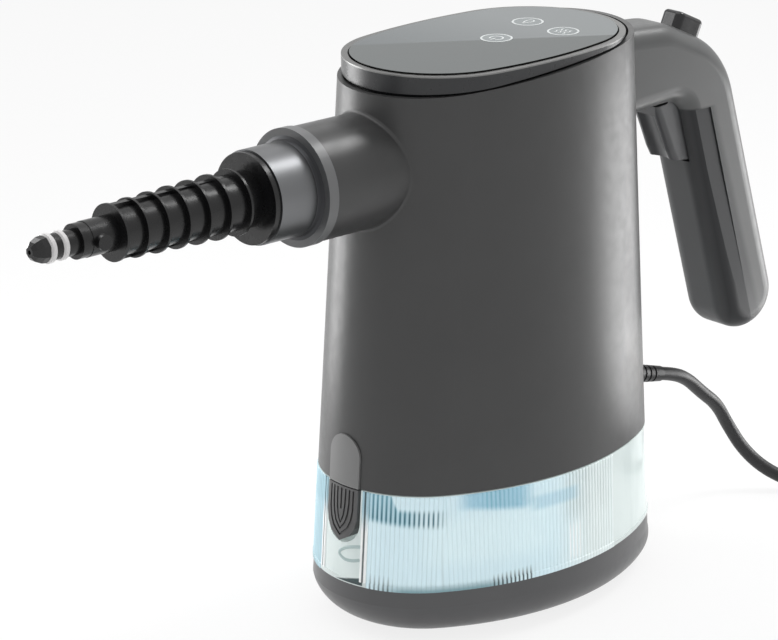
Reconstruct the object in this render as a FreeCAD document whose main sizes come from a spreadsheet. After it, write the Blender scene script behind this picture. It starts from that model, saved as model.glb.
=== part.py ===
"""Handheld steam cleaner for jewelry: tapered oval housing, clear clip-off tank, finned
nozzle, pistol grip with trigger, touch glass on top and a mains cord at the back.

Millimetres. +Z is up, the nozzle points along -X, the grip is at +X, and the object is
symmetric about Y = 0. The origin is the centre of the face that it stands on.
"""
import FreeCAD, Part
import math
import os
import re

import Sketcher
from FreeCAD import Placement, Rotation, Vector

doc = FreeCAD.newDocument("steam_cleaner")

# ---------------------------------------------------------------- driving dimensions
SIZES = {
    # oval column shared by base, tank and housing; its half axes shrink with height
    "half_length": 87.4,
    "half_width": 57.8,
    "length_taper": 0.0621,
    "width_taper": 0.049,
    "end_fullness": 1.2,
    "fullness_rise": 0.0008,
    "wall": 2.4,
    # levels
    "foot_height": 0.8,
    "base_top": 23.6,
    "tank_bottom": 23.6,
    "tank_top": 67.0,
    "shell_bottom": 67.4,
    "shell_rim": 244.3,
    "rim_slope": 0.075,
    "loft_top": 256.0,
    "base_round": 15.7,
    "base_shift": 4.7,
    "foot_outer": 20.0,
    "foot_inner": 26.0,
    # tank
    "tank_floor": 2.6,
    "neck_top": 70.4,
    "neck_inset": 2.9,
    "lid_top": 72.2,
    "window_half": 12.6,
    "window_depth": 75.0,
    "niche_half": 10.1,
    "niche_depth": 77.0,
    "niche_bottom": 41.3,
    "pill_half": 9.3,
    "pill_top": 89.9,
    "pill_bottom": 42.1,
    "pill_proud": 0.9,
    "button_flare": 1.2,
    "groove_depth": 0.7,
    "lip_proud": 0.35,
    # deck
    "deck_bottom": 73.4,
    "deck_top": 76.4,
    "collar_top": 84.6,
    # nozzle, measured out from the middle of the column
    "nozzle_height": 205.3,
    "boss_radius": 24.5,
    "boss_bore": 20.4,
    "boss_end": 106.8,
    "ring_end": 111.8,
    "ring_radius": 25.1,
    "collar_radius": 20.0,
    "collar_end": 132.6,
    "collar_foot": 2.0,
    "disc_end": 135.5,
    "disc_radius": 19.3,
    "fin_first": 143.1,
    "fin_pitch": 10.22,
    "fin_radius": 14.0,
    "fin_step": 0.36,
    "fin_thick": 1.1,
    "core_ratio": 0.85,
    "stem_radius": 7.4,
    "pilot_radius": 7.2,
    "pilot_start": 217.9,
    "stem_end": 222.6,
    "neck_radius": 4.0,
    "nose_radius": 5.6,
    "land_radius": 5.3,
    "tip_end": 243.7,
    "steam_bore": 2.0,
    # handle
    "handle_half": 14.75,
    "handle_round": 9.0,
    "handle_root": 68.0,
    "grip_slope": 0.306,
    "step_depth": 0.6,
    # top
    "glass_height": 250.0,
    "glass_length": 64.95,
    "glass_width": 41.4,
    "glass_fullness": 1.468,
    "glass_shift": 1.85,
    "glass_proud": 0.6,
    "rim_width": 2.9,
    "pod_gap": 1.0,
    "pod_neck": 3.2,
    "rim_height": 0.6,
    # cord
    "cord_diameter": 6.4,
    "coil_inner": 26.0,
    "coil_outer": 45.2,
}

FIN_COUNT = 7

sheet = doc.addObject("Spreadsheet::Sheet", "Sizes")
for row, (alias, number) in enumerate(SIZES.items(), start=1):
    sheet.set(f"A{row}", alias)
    sheet.set(f"B{row}", str(number))
    sheet.setAlias(f"B{row}", alias)
doc.recompute()

ALIAS = re.compile(r"[a-z]+(?:_[a-z]+)+|wall")


def size(alias):
    """The number that the sheet holds under an alias."""
    return float(getattr(sheet, alias))


def bind(item, prop, formula):
    """Ties a property to the sheet; a formula names the sheet's aliases."""
    item.setExpression(prop, ALIAS.sub(lambda found: "Sizes." + found.group(), formula))


# ---------------------------------------------------------------- sketch and body helpers
kept = []


def keep(item, label):
    """Names a finished sub-part and lists it for export."""
    item.Label = label
    kept.append(item)
    return item


def new_body(name, height=None):
    body = doc.addObject("PartDesign::Body", name)
    if height is not None:
        bind(body, "Placement.Base.z", height)
    return body


def new_sketch(body, name, role, offset="0"):
    """A sketch on one of the body's own origin planes, moved along the plane's normal."""
    sketch = body.newObject("Sketcher::SketchObject", name)
    plane = [item for item in body.Origin.OriginFeatures if item.Role == role][0]
    sketch.AttachmentSupport = [(plane, "")]
    sketch.MapMode = "FlatFace"
    if offset != "0":
        bind(sketch, "AttachmentOffset.Base.z", offset)
    return sketch


def measure(sketch, constraint, formula):
    """Adds a dimension and ties it to a formula."""
    index = sketch.addConstraint(constraint)
    bind(sketch, f"Constraints[{index}]", formula)


def outline(sketch, points):
    """A closed polygon whose corners are pairs of formulas."""
    count = len(points)
    guess = [
        Vector(40 * math.cos(2 * math.pi * i / count), 40 * math.sin(2 * math.pi * i / count), 0)
        for i in range(count)
    ]
    for i in range(count):
        sketch.addGeometry(Part.LineSegment(guess[i], guess[(i + 1) % count]), False)
    for i in range(count):
        sketch.addConstraint(Sketcher.Constraint("Coincident", i, 2, (i + 1) % count, 1))
    for i, (across, up) in enumerate(points):
        if across == "0":
            sketch.addConstraint(Sketcher.Constraint("PointOnObject", i, 1, -2))
        else:
            measure(sketch, Sketcher.Constraint("DistanceX", -1, 1, i, 1, guess[i].x + 1), across)
        if up == "0":
            sketch.addConstraint(Sketcher.Constraint("PointOnObject", i, 1, -1))
        else:
            measure(sketch, Sketcher.Constraint("DistanceY", -1, 1, i, 1, guess[i].y + 1), up)


def disc(sketch, radius, across="0", up="0"):
    """A circle with a bound radius and centre."""
    ring = sketch.addGeometry(Part.Circle(Vector(1, 1, 0), Vector(0, 0, 1), 5), False)
    measure(sketch, Sketcher.Constraint("Radius", ring, 5), radius)
    if across == "0":
        sketch.addConstraint(Sketcher.Constraint("PointOnObject", ring, 3, -2))
    else:
        measure(sketch, Sketcher.Constraint("DistanceX", -1, 1, ring, 3, 1), across)
    if up == "0":
        sketch.addConstraint(Sketcher.Constraint("PointOnObject", ring, 3, -1))
    else:
        measure(sketch, Sketcher.Constraint("DistanceY", -1, 1, ring, 3, 1), up)


def oval(sketch, length, width, fullness, inset="0"):
    """Four tangent arcs through the given half axes, moved in parallel by the inset."""
    end = f"({fullness} * ({width})^2 / ({length}))"
    side = f"((({width})^2 + (({length}) - {end})^2 - {end}^2) / (2 * (({width}) - {end})))"
    start_end, start_length, start_width = 40.0, 80.0, 52.0
    reach = start_length - start_end
    start_side = (start_width**2 + reach**2 - start_end**2) / (2 * (start_width - start_end))
    drop = start_side - start_width
    turn = math.atan2(drop, reach)
    arcs = (
        (Vector(reach, 0, 0), start_end, -turn, turn),
        (Vector(0, -drop, 0), start_side, turn, math.pi - turn),
        (Vector(-reach, 0, 0), start_end, math.pi - turn, math.pi + turn),
        (Vector(0, drop, 0), start_side, math.pi + turn, 2 * math.pi - turn),
    )
    for middle, radius, first, last in arcs:
        circle = Part.Circle(middle, Vector(0, 0, 1), radius)
        sketch.addGeometry(Part.ArcOfCircle(circle, first, last), False)
    for i in range(3):
        sketch.addConstraint(Sketcher.Constraint("Tangent", i, 2, i + 1, 1))
    sketch.addConstraint(Sketcher.Constraint("Vertical", 0, 1, 0, 2))
    sketch.addConstraint(Sketcher.Constraint("Horizontal", 3, 1, 3, 2))
    for i, axis in enumerate((-1, -2, -1, -2)):
        sketch.addConstraint(Sketcher.Constraint("PointOnObject", i, 3, axis))
    sketch.addConstraint(Sketcher.Constraint("Equal", 0, 2))
    sketch.addConstraint(Sketcher.Constraint("Equal", 1, 3))
    measure(sketch, Sketcher.Constraint("DistanceX", -1, 1, 0, 3, reach), f"({length}) - {end}")
    measure(sketch, Sketcher.Constraint("Radius", 0, start_end), f"{end} - ({inset})")
    measure(sketch, Sketcher.Constraint("Radius", 1, start_side), f"{side} - ({inset})")


def column_section(body, name, height, inset="0"):
    """The column's oval at a height, inset in parallel; its ends grow fuller upward."""
    sketch = new_sketch(body, name, "XY_Plane", height)
    length = f"(half_length - length_taper * ({height}))"
    width = f"(half_width - width_taper * ({height}))"
    oval(sketch, length, width, f"(end_fullness + fullness_rise * ({height}))", inset)
    return sketch


def feature(body, kind, name, profile, **props):
    """A PartDesign feature made from a sketch."""
    item = body.newObject("PartDesign::" + kind, name)
    item.Profile = profile
    for prop, setting in props.items():
        if isinstance(setting, str) and prop in ("Length", "Angle"):
            bind(item, prop, setting)
        else:
            setattr(item, prop, setting)
    profile.Visibility = False
    return item


def column(body, name, low, high, inset="0", kind="AdditiveLoft"):
    """A straight-sided loft of the column between two heights."""
    bottom = column_section(body, name + "_low", low, inset)
    top = column_section(body, name + "_high", high, inset)
    return feature(body, kind, name, bottom, Sections=[top], Ruled=True)


def column_body(name, low, high, inset="0"):
    body = new_body(name)
    column(body, name + "_loft", low, high, inset)
    return body


def shell_slice(name, low, high, inset):
    """A level slice of the long loft that the housing is made from."""
    whole = column_body(name + "_column", "shell_bottom - 1", "loft_top + 1", inset)
    return common(name, whole, block(name + "_level", (-100, -80, low), (100, 80, high)))


def prism(name, role, points, length, offset="0", midplane=True):
    """A pad of a polygon, as a body of its own."""
    body = new_body(name)
    sketch = new_sketch(body, name + "_outline", role, offset)
    outline(sketch, points)
    feature(body, "Pad", name + "_pad", sketch, Length=length, Midplane=midplane)
    return body


def revolved(name, points, height=None):
    """A polygon turned about the X axis at a height; corners are (along X, radius)."""
    body = new_body(name, height)
    sketch = new_sketch(body, name + "_outline", "XZ_Plane")
    outline(sketch, points)
    feature(body, "Revolution", name + "_turn", sketch, ReferenceAxis=(sketch, ["H_Axis"]), Angle=360)
    return body


def round_edges(body, name, radius, test):
    """Fillets the edges that pass a test."""
    doc.recompute()
    edges = [f"Edge{i}" for i, edge in enumerate(body.Shape.Edges, start=1) if test(edge)]
    base = body.Tip
    item = body.newObject("PartDesign::Fillet", name)
    item.Base = (base, edges)
    item.Radius = radius
    return body


def along_y_at(across, up):
    """True for a straight edge along Y that passes a point of the side view."""
    def test(edge):
        box = edge.BoundBox
        straight = box.XLength < 0.01 and box.ZLength < 0.01
        return straight and abs(box.XMin - across) < 0.5 and abs(box.ZMin - up) < 0.5
    return test


# ---------------------------------------------------------------- primitive helpers
def primitive(kind, name, place, axis=(0, 0, 1), **dims):
    """A Part primitive with bound sizes, standing at a place along an axis."""
    item = doc.addObject("Part::" + kind, name)
    for prop, formula in dims.items():
        bind(item, prop, str(formula))
    item.Placement = Placement(Vector(*place), Rotation(Vector(0, 0, 1), Vector(*axis)))
    return item


def block(name, low, high):
    """A box between two corners."""
    item = doc.addObject("Part::Box", name)
    item.Length, item.Width, item.Height = (b - a for a, b in zip(low, high))
    item.Placement = Placement(Vector(*low), Rotation())
    return item


def rod(name, start, axis, radius, length):
    """A cylinder from a point along an axis."""
    return primitive("Cylinder", name, start, axis, Radius=radius, Height=length)


def cut(name, base, *tools):
    """Base less the tools."""
    item = doc.addObject("Part::Cut", name)
    item.Base = base
    item.Tool = tools[0] if len(tools) == 1 else fuse(name + "_tools", *tools)
    return item


def fuse(name, *shapes):
    item = doc.addObject("Part::MultiFuse", name)
    item.Shapes = list(shapes)
    return item


def common(name, *shapes):
    item = doc.addObject("Part::MultiCommon", name)
    item.Shapes = list(shapes)
    return item


def group(name, shapes):
    """Separate solids kept as one node."""
    item = doc.addObject("Part::Compound", name)
    item.Links = list(shapes)
    return item


def rounded_path(points):
    """Straight runs joined by tangent arcs, each as large as its two runs allow."""
    corners = [Vector(*point) for point in points]
    edges, start = [], corners[0]
    radii = []
    for before, corner, after in zip(corners, corners[1:], corners[2:]):
        inward = (corner - before).normalize()
        outward = (after - corner).normalize()
        turn = inward.getAngle(outward)
        reach = 0.45 * min((corner - before).Length, (after - corner).Length)
        radius = reach / math.tan(turn / 2)
        radii.append(round(radius, 1))
        first = corner - inward * reach
        last = corner + outward * reach
        bisector = (outward - inward).normalize()
        middle = corner + bisector * (radius / math.cos(turn / 2) - radius)
        edges.append(Part.LineSegment(start, first).toShape())
        edges.append(Part.Arc(first, middle, last).toShape())
        start = last
    edges.append(Part.LineSegment(start, corners[-1]).toShape())
    return Part.Wire(edges), radii


def tube(name, points, radius):
    """A round tube along straight runs and tangent arcs, checked by its volume."""
    path, radii = rounded_path(points)
    direction = Vector(*points[1]) - Vector(*points[0])
    section = Part.Wire(Part.Circle(Vector(*points[0]), direction, radius).toShape())
    solid = path.makePipeShell([section], True, False)
    ratio = solid.Volume / (math.pi * radius**2 * path.Length)
    print(f"{name}: length {path.Length:.0f} mm, radii {radii}, volume ratio {ratio:.3f}")
    if abs(ratio - 1) > 0.02:
        raise ValueError(name + " has a wrong volume")
    item = doc.addObject("Part::Feature", name)
    item.Shape = solid
    return item


def spring(name, start, axis, radius, wire, length, turns):
    """A helical compression spring from a point along an axis."""
    helix = Part.makeHelix(length / turns, length, radius)
    section = Part.Wire(Part.Circle(Vector(radius, 0, 0), Vector(0, 1, 0), wire).toShape())
    solid = Part.Wire(helix).makePipeShell([section], True, True)
    item = doc.addObject("Part::Feature", name)
    item.Shape = solid
    item.Placement = Placement(Vector(*start), Rotation(Vector(0, 0, 1), Vector(*axis)))
    return item


# ---------------------------------------------------------------- grip and bridge (used to cut the shell)
# corners of the side view; grip lines fall back by grip_slope for each millimetre down
HANDLE_CORNERS = (
    ("handle_root", "244.0"),
    ("102.0", "241.6"),
    ("139.4", "224.4"),
    ("180.3", "92.2"),
    ("146.9", "81.4"),
    ("109.2", "205.0"),
    ("handle_root", "202.6"),
)
HANDLE_ROUNDS = (
    (102.0, 241.6, 30),
    (139.4, 224.4, 44),
    (180.3, 92.2, 16.9),
    (146.9, 81.4, 17.3),
    (109.2, 205.0, 9),
)


def handle_form():
    """The outside of the bridge and grip as one closed form."""
    body = prism("handle_form", "XZ_Plane", HANDLE_CORNERS, "2 * handle_half")
    for number, (across, up, radius) in enumerate(HANDLE_ROUNDS):
        round_edges(body, f"handle_corner_{number}", radius, along_y_at(across, up))
    half = size("handle_half")
    root = size("handle_root")

    def on_flank(edge):
        box = edge.BoundBox
        flat = abs(abs(box.YMin) - half) < 0.01 and box.YLength < 0.01
        return flat and box.XMax > root + 0.5

    return round_edges(body, "handle_flanks", size("handle_round"), on_flank)


handle_outside = handle_form()


# ---------------------------------------------------------------- housing
def build_shell():
    """Tapered housing wall with its nozzle boss, tilted rim and holes."""
    body = new_body("shell_form")
    column(body, "shell_outside", "shell_bottom", "loft_top")
    boss = new_sketch(body, "boss_outline", "YZ_Plane", "-boss_end")
    disc(boss, "boss_radius", up="nozzle_height")
    feature(body, "Pad", "boss", boss, Length="boss_end - 50")
    doc.recompute()

    def joins_column(edge):
        box = edge.BoundBox
        beside = box.XMin > -80 and box.XMax < -55
        return beside and box.XLength > 1 and box.ZMin > 170 and box.ZMax < 240

    round_edges(body, "boss_blend", 1.5, joins_column)
    column(body, "shell_inside", "shell_bottom - 1", "loft_top + 1", "wall", "SubtractiveLoft")
    bore = new_sketch(body, "bore_outline", "YZ_Plane", "-boss_end")
    disc(bore, "boss_bore", up="nozzle_height")
    feature(body, "Pocket", "boss_bore_cut", bore, Length="boss_end - 50", Reversed=True)
    rim = new_sketch(body, "rim_outline", "XZ_Plane")
    rim_points = (
        ("-120", "shell_rim - 120 * rim_slope"),
        ("120", "shell_rim + 120 * rim_slope"),
        ("120", "300"),
        ("-120", "300"),
    )
    outline(rim, rim_points)
    feature(body, "Pocket", "rim_cut", rim, Length="200", Midplane=True)
    gland = rod("gland_hole", gland_start(-6), gland_axis, f"{GLAND_RADIUS + 0.05}", "16")
    slot = block("latch_slot", (-82.2, -5.4, 70.6), (-79.0, 5.4, 76.4))
    keep(cut("shell_cut", body, handle_outside, gland, slot), "body_shell")


# the cord's gland leans down from the back of the housing
gland_tilt = math.radians(13.5)
gland_axis = (math.cos(gland_tilt), 0, -math.sin(gland_tilt))
gland_mouth = (82.6, 0, 78.3)
GLAND_RADIUS = 4.6
GLASS_TILT = -0.92


def gland_start(along):
    """A point on the gland's axis, measured out from the housing's wall."""
    return tuple(a + along * b for a, b in zip(gland_mouth, gland_axis))


def on_glass(item, drop=0.0, spot=(0, 0)):
    """Lays a piece at a spot under the glass, on the slight tilt of the top."""
    middle = Vector(-size("glass_shift"), 0, size("glass_height"))
    tilted = Placement(middle, Rotation(Vector(0, 1, 0), GLASS_TILT))
    item.Placement = tilted.multiply(Placement(Vector(spot[0], spot[1], -drop), Rotation()))
    return item


def oval_plate(name, length, width, low, high, inset="0"):
    """A flat oval plate between two levels below the glass."""
    body = new_body(name)
    sketch = new_sketch(body, name + "_outline", "XY_Plane", low)
    oval(sketch, length, width, "glass_fullness", inset)
    feature(body, "Pad", name + "_pad", sketch, Length=f"({high}) - ({low})")
    return body


BOARD_POSTS = ((-56.5, 0), (56.5, 0), (0, -33.3), (0, 33.3))


def build_top():
    """Cap pod, bright rim and the touch glass, with the board hung below it."""
    outer_length = "glass_length + rim_width"
    outer_width = "glass_width + rim_width"
    rim_foot = "-(glass_proud + rim_height)"
    pod = on_glass(oval_plate("pod_outside", outer_length, outer_width, "-15", rim_foot))
    below_points = (
        ("-120", "shell_rim + pod_gap - 120 * rim_slope"),
        ("120", "shell_rim + pod_gap + 120 * rim_slope"),
        ("120", "200"),
        ("-120", "200"),
    )
    skirt = cut("pod_skirt", pod, prism("pod_below", "XZ_Plane", below_points, "200"))
    neck = on_glass(oval_plate("pod_neck_form", outer_length, outer_width, "-15", rim_foot, "pod_neck"))
    inside = on_glass(oval_plate("pod_inside", "glass_length", "glass_width", "-16", "-5", "2.2"))
    window = on_glass(oval_plate("pod_window", "glass_length", "glass_width", "-6", "-2", "10"))
    seat = on_glass(oval_plate("glass_seat", "glass_length", "glass_width", "-2.6", "0", "-0.3"))
    flange = shell_slice("pod_flange", 234.4, 237.4, "wall + 0.1")
    flange_hole = column_body("pod_flange_hole", "234", "238", "wall + 9")
    notch = block("handle_notch", (67.0, -15.2, 230), (75, 15.2, 248))
    posts = [
        on_glass(rod(f"board_post_{i}", (0, 0, 0), (0, 0, 1), "2.4", "3"), 7.4, spot)
        for i, spot in enumerate(BOARD_POSTS)
    ]
    outside = fuse("pod_form", skirt, neck, cut("flange_ring", flange, flange_hole))
    keep(fuse("pod_whole", cut("pod_cut", outside, inside, window, seat, notch), *posts), "top_cap")

    ring = oval_plate("rim_outside", outer_length, outer_width, rim_foot, "-glass_proud")
    hole = oval_plate("rim_inside", "glass_length", "glass_width", "-3", "1", "-0.3")
    keep(on_glass(cut("rim_whole", ring, hole)), "glass_rim")
    glass = oval_plate("glass_plate", "glass_length", "glass_width", "-2.6", "0", "0.3")
    keep(on_glass(glass), "touch_glass")

    board = oval_plate("board_plate", "glass_length", "glass_width", "-9", "-7.4", "4")
    chips = [
        block(f"chip_{i}", (across - 6, -5, -12), (across + 6, 5, -8.5))
        for i, across in enumerate((-36, -12, 12, 36))
    ]
    keep(on_glass(fuse("board_whole", board, *chips)), "control_board")
    heads = [
        on_glass(rod(f"board_screw_{i}", (0, 0, 0), (0, 0, 1), "2.0", "1.6"), 10.6, spot)
        for i, spot in enumerate(BOARD_POSTS)
    ]
    keep(group("board_screw_set", heads), "board_screws")


def build_latch_cover():
    """The upper half of the latch pill, proud of the housing."""
    half = size("pill_half")
    top = size("pill_top")
    bar = block("cover_bar", (-95, -half, size("shell_bottom")), (-70, half, top - half))
    head = rod("cover_head", (-95, 0, top - half), (1, 0, 0), "pill_half", "25")
    proud = column_body("cover_outside", "shell_bottom", "pill_top + 1", "-pill_proud")
    under = column_body("cover_inside", "shell_bottom", "pill_top + 1", "-0.05")
    skin = cut("cover_skin", proud, under)
    keep(common("cover_whole", fuse("cover_pill", bar, head), skin), "latch_cover")


# ---------------------------------------------------------------- tank
SPIGOT_X = 38.0
FILL_X = -24.0


def build_tank():
    """Clear tank wall with a front window, the button's niche and a neck into the housing."""
    wall = column_body("tank_outside", "tank_bottom", "tank_top")
    lip = column_body("tank_lip", "tank_bottom + 0.6", "tank_bottom + 2.2", "-lip_proud")
    neck = column_body("neck_outside", "tank_top - 4", "neck_top", "neck_inset")
    space = column_body("tank_inside", "tank_bottom + tank_floor", "tank_top - 4", "wall")
    mouth = column_body("mouth_inside", "tank_top - 5", "neck_top + 1", "neck_inset + wall")
    half = size("window_half")
    depth = size("window_depth")
    front = block("window_block", (-95, -half, 20), (-depth, half, 75))
    hollow = cut("tank_hollow", fuse("tank_space", space, mouth), front)
    niche_half = size("niche_half")
    niche_low = size("niche_bottom")
    middle = niche_low + niche_half
    niche = block("niche_bar", (-95, -niche_half, middle), (-size("niche_depth"), niche_half, 75))
    niche_end = rod("niche_end", (-95, 0, middle), (1, 0, 0), "niche_half", "95 - niche_depth")
    keep(cut("tank_whole", fuse("tank_form", wall, lip, neck), hollow, niche, niche_end), "water_tank")


def build_lid():
    """Lid with a plug rim, the outlet spigot, and the fill plug beside it."""
    flange = column_body("lid_flange", "neck_top", "lid_top", "neck_inset + 0.3")
    rim = column_body("lid_rim", "neck_top - 4", "neck_top", "neck_inset + wall + 0.2")
    space = column_body("lid_space", "neck_top - 5", "neck_top", "neck_inset + 2 * wall + 0.2")
    front = block("lid_front", (-95, -13.2, 60), (-74.6, 13.2, 80))
    hole = rod("fill_hole", (FILL_X, 0, 60), (0, 0, 1), "9.0", "20")
    socket = rod("spigot_hole", (SPIGOT_X, 0, 60), (0, 0, 1), "5.05", "20")
    keep(cut("lid_whole", fuse("lid_form", flange, rim), space, front, hole, socket), "tank_lid")
    stopper = primitive("Cone", "plug_taper", (FILL_X, 0, 65.4), Radius1="8.3", Radius2="8.7", Height="6.8")
    head = rod("plug_head", (FILL_X, 0, size("lid_top")), (0, 0, 1), "11.5", "1.2")
    keep(fuse("fill_plug_whole", stopper, head), "fill_plug")
    spigot = rod("spigot_tube", (SPIGOT_X, 0, 64), (0, 0, 1), "5.0", "17")
    dip = rod("dip_tube", (SPIGOT_X, 0, 33), (0, 0, 1), "3.0", "34")
    bore = rod("dip_bore", (SPIGOT_X, 0, 32), (0, 0, 1), "1.8", "50")
    keep(cut("spigot_whole", fuse("spigot_form", spigot, dip), bore), "tank_spigot")
    weight = rod("filter_body", (SPIGOT_X, 0, 27.0), (0, 0, 1), "5.5", "9")
    seat = rod("filter_seat", (SPIGOT_X, 0, 33), (0, 0, 1), "3.0", "9")
    keep(cut("filter_whole", weight, seat), "suction_filter")


def foot_form(name, low, high, inset):
    """A piece of the column under the base, moved back with the base's flat underside."""
    body = column_body(name, low, high, inset)
    bind(body, "Placement.Base.x", "base_shift")
    return body


def build_base():
    """Rounded base tray, its underside set back toward the grip, with the foot ring."""
    body = new_body("base_form")
    sections = []
    for i, angle in enumerate((0, 18, 36, 54, 72, 90)):
        turn = math.radians(angle)
        height = f"foot_height + base_round * {1 - math.cos(turn):.5f}"
        inset = f"base_round * {1 - math.sin(turn):.5f}"
        section = column_section(body, f"base_section_{i}", height, inset)
        bind(section, "AttachmentOffset.Base.x", f"base_shift * {math.cos(turn):.5f}")
        sections.append(section)
    feature(body, "AdditiveLoft", "base_bowl", sections[0], Sections=sections[1:])
    column(body, "base_rim", "foot_height + base_round", "base_top")
    hollow = column_body("base_hollow", "foot_height + 12", "base_top + 1", "wall + 2.2")
    ring_groove = foot_form("foot_groove", "foot_height - 0.1", "foot_height + 1", "foot_outer")
    groove_core = foot_form("foot_groove_core", "foot_height - 0.2", "foot_height + 1.1", "foot_inner")
    keep(cut("base_whole", body, hollow, cut("foot_channel", ring_groove, groove_core)), "base_shell")
    ring = foot_form("foot_outside", "0", "foot_height + 1", "foot_outer + 0.1")
    core = foot_form("foot_inside", "-0.1", "foot_height + 1.1", "foot_inner - 0.1")
    keep(cut("foot_whole", ring, core), "foot_ring")


GROOVE_SETS = (1.9, 4.1, 6.3)
GROOVE_WIDTH = 0.9
GROOVE_TOP = 66.0


def shield(name, inset, top):
    """A prism along X in the button's outline: straight sides and a pointed foot."""
    side = f"(pill_half - {inset})"
    foot = f"(pill_bottom + {1.2 * inset:.2f})"
    points = (
        (side, f"{top}"),
        (f"-{side}", f"{top}"),
        (f"-{side}", f"{foot} + 11.6"),
        (f"-0.88 * {side}", f"{foot} + 7.0"),
        (f"-0.6 * {side}", f"{foot} + 3.3"),
        ("0", foot),
        (f"0.6 * {side}", f"{foot} + 3.3"),
        (f"0.88 * {side}", f"{foot} + 7.0"),
        (side, f"{foot} + 11.6"),
    )
    return prism(name, "YZ_Plane", points, "15.2", "-95", False)


def flared_column(name, depth):
    """The button's front face, standing further out toward its foot, moved in by a depth."""
    body = new_body(name)
    low = column_section(body, name + "_low", "pill_bottom - 1", f"{depth} - button_flare")
    high = column_section(body, name + "_high", "tank_top + 1", f"{depth} - pill_proud")
    feature(body, "AdditiveLoft", name + "_loft", low, Sections=[high], Ruled=True)
    return body


def build_button():
    """Grooved release button: a flared shield in the tank's niche with a latch arm."""
    top = size("tank_top") - 0.1
    pad = common("button_pad", shield("button_shield", 0.0, top), flared_column("button_face", "0"))
    bands = [block("groove_middle", (-95, -GROOVE_WIDTH / 2, 56.5), (-80, GROOVE_WIDTH / 2, GROOVE_TOP))]
    for i, inset in enumerate(GROOVE_SETS):
        outer = shield(f"groove_outer_{i}", inset, GROOVE_TOP)
        inner = shield(f"groove_inner_{i}", inset + GROOVE_WIDTH, GROOVE_TOP + 1)
        bands.append(cut(f"groove_band_{i}", outer, inner))
    floor = flared_column("groove_floor", "groove_depth")
    grooves = cut("button_grooves", fuse("groove_bands", *bands), floor)
    foot = block("latch_arm_foot", (-80.6, -5, 60), (-78.6, 5, top))
    arm = block("latch_arm", (-80.2, -5, 64), (-78.6, 5, 76))
    tooth = block("latch_tooth", (-80.5, -5, 72.4), (-80.2, 5, 75.4))
    keep(cut("button_whole", fuse("button_form", pad, foot, arm, tooth), grooves), "release_button")


# ---------------------------------------------------------------- inside the housing
def build_deck():
    """Deck plate across the housing's foot, with the spigot socket and the latch gate."""
    low, top, roof = size("deck_bottom"), size("deck_top"), size("collar_top")
    plate = shell_slice("deck_plate", low, top, "wall + 0.1")
    collar = rod("deck_collar", (SPIGOT_X, 0, low), (0, 0, 1), "8.5", "collar_top - deck_bottom")
    nipple = rod("deck_nipple", (SPIGOT_X, 0, roof), (0, 0, 1), "2.5", "3.4")
    post = block("spring_post", (-72.6, -5, low), (-70.4, 5, top + 4))
    socket = rod("deck_socket", (SPIGOT_X, 0, low - 1), (0, 0, 1), "6.65", "collar_top - deck_bottom - 1.4")
    drain = rod("deck_drain", (SPIGOT_X, 0, low), (0, 0, 1), "1.2", "20")
    gate = block("latch_gate", (-90, -6, 70), (-76.0, 6, 80))
    coil_gate = block("latch_coil_gate", (-78, -2.6, 70), (-72.6, 2.6, 80))
    well = rod("plug_well", (FILL_X, 0, 70), (0, 0, 1), "13.0", "20")
    back = block("gland_gate", (68, -12, 70), (90, 12, 80))
    form = fuse("deck_form", plate, collar, post, nipple)
    keep(cut("deck_whole", form, socket, drain, gate, coil_gate, well, back), "chassis_deck")
    seal = primitive("Torus", "seal_ring", (SPIGOT_X, 0, 78.6), Radius1="5.85", Radius2="0.75")
    keep(seal, "spigot_seal")
    keep(spring("latch_coil", (-78.25, 0, 74.6), (1, 0, 0), 1.9, 0.3, 5.3, 5), "latch_spring")


BOILER_RADIUS = 26.0
BOILER_Z = 160.0
BOILER_BACK = 32.0
BOILER_FRONT = -48.0
BRACKET_HALF = 24.0
BRACKET_FRONT = -43.0
BRACKET_BACK = 22.0
THERMOSTAT_X = (-24.0, 8.0)


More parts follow.
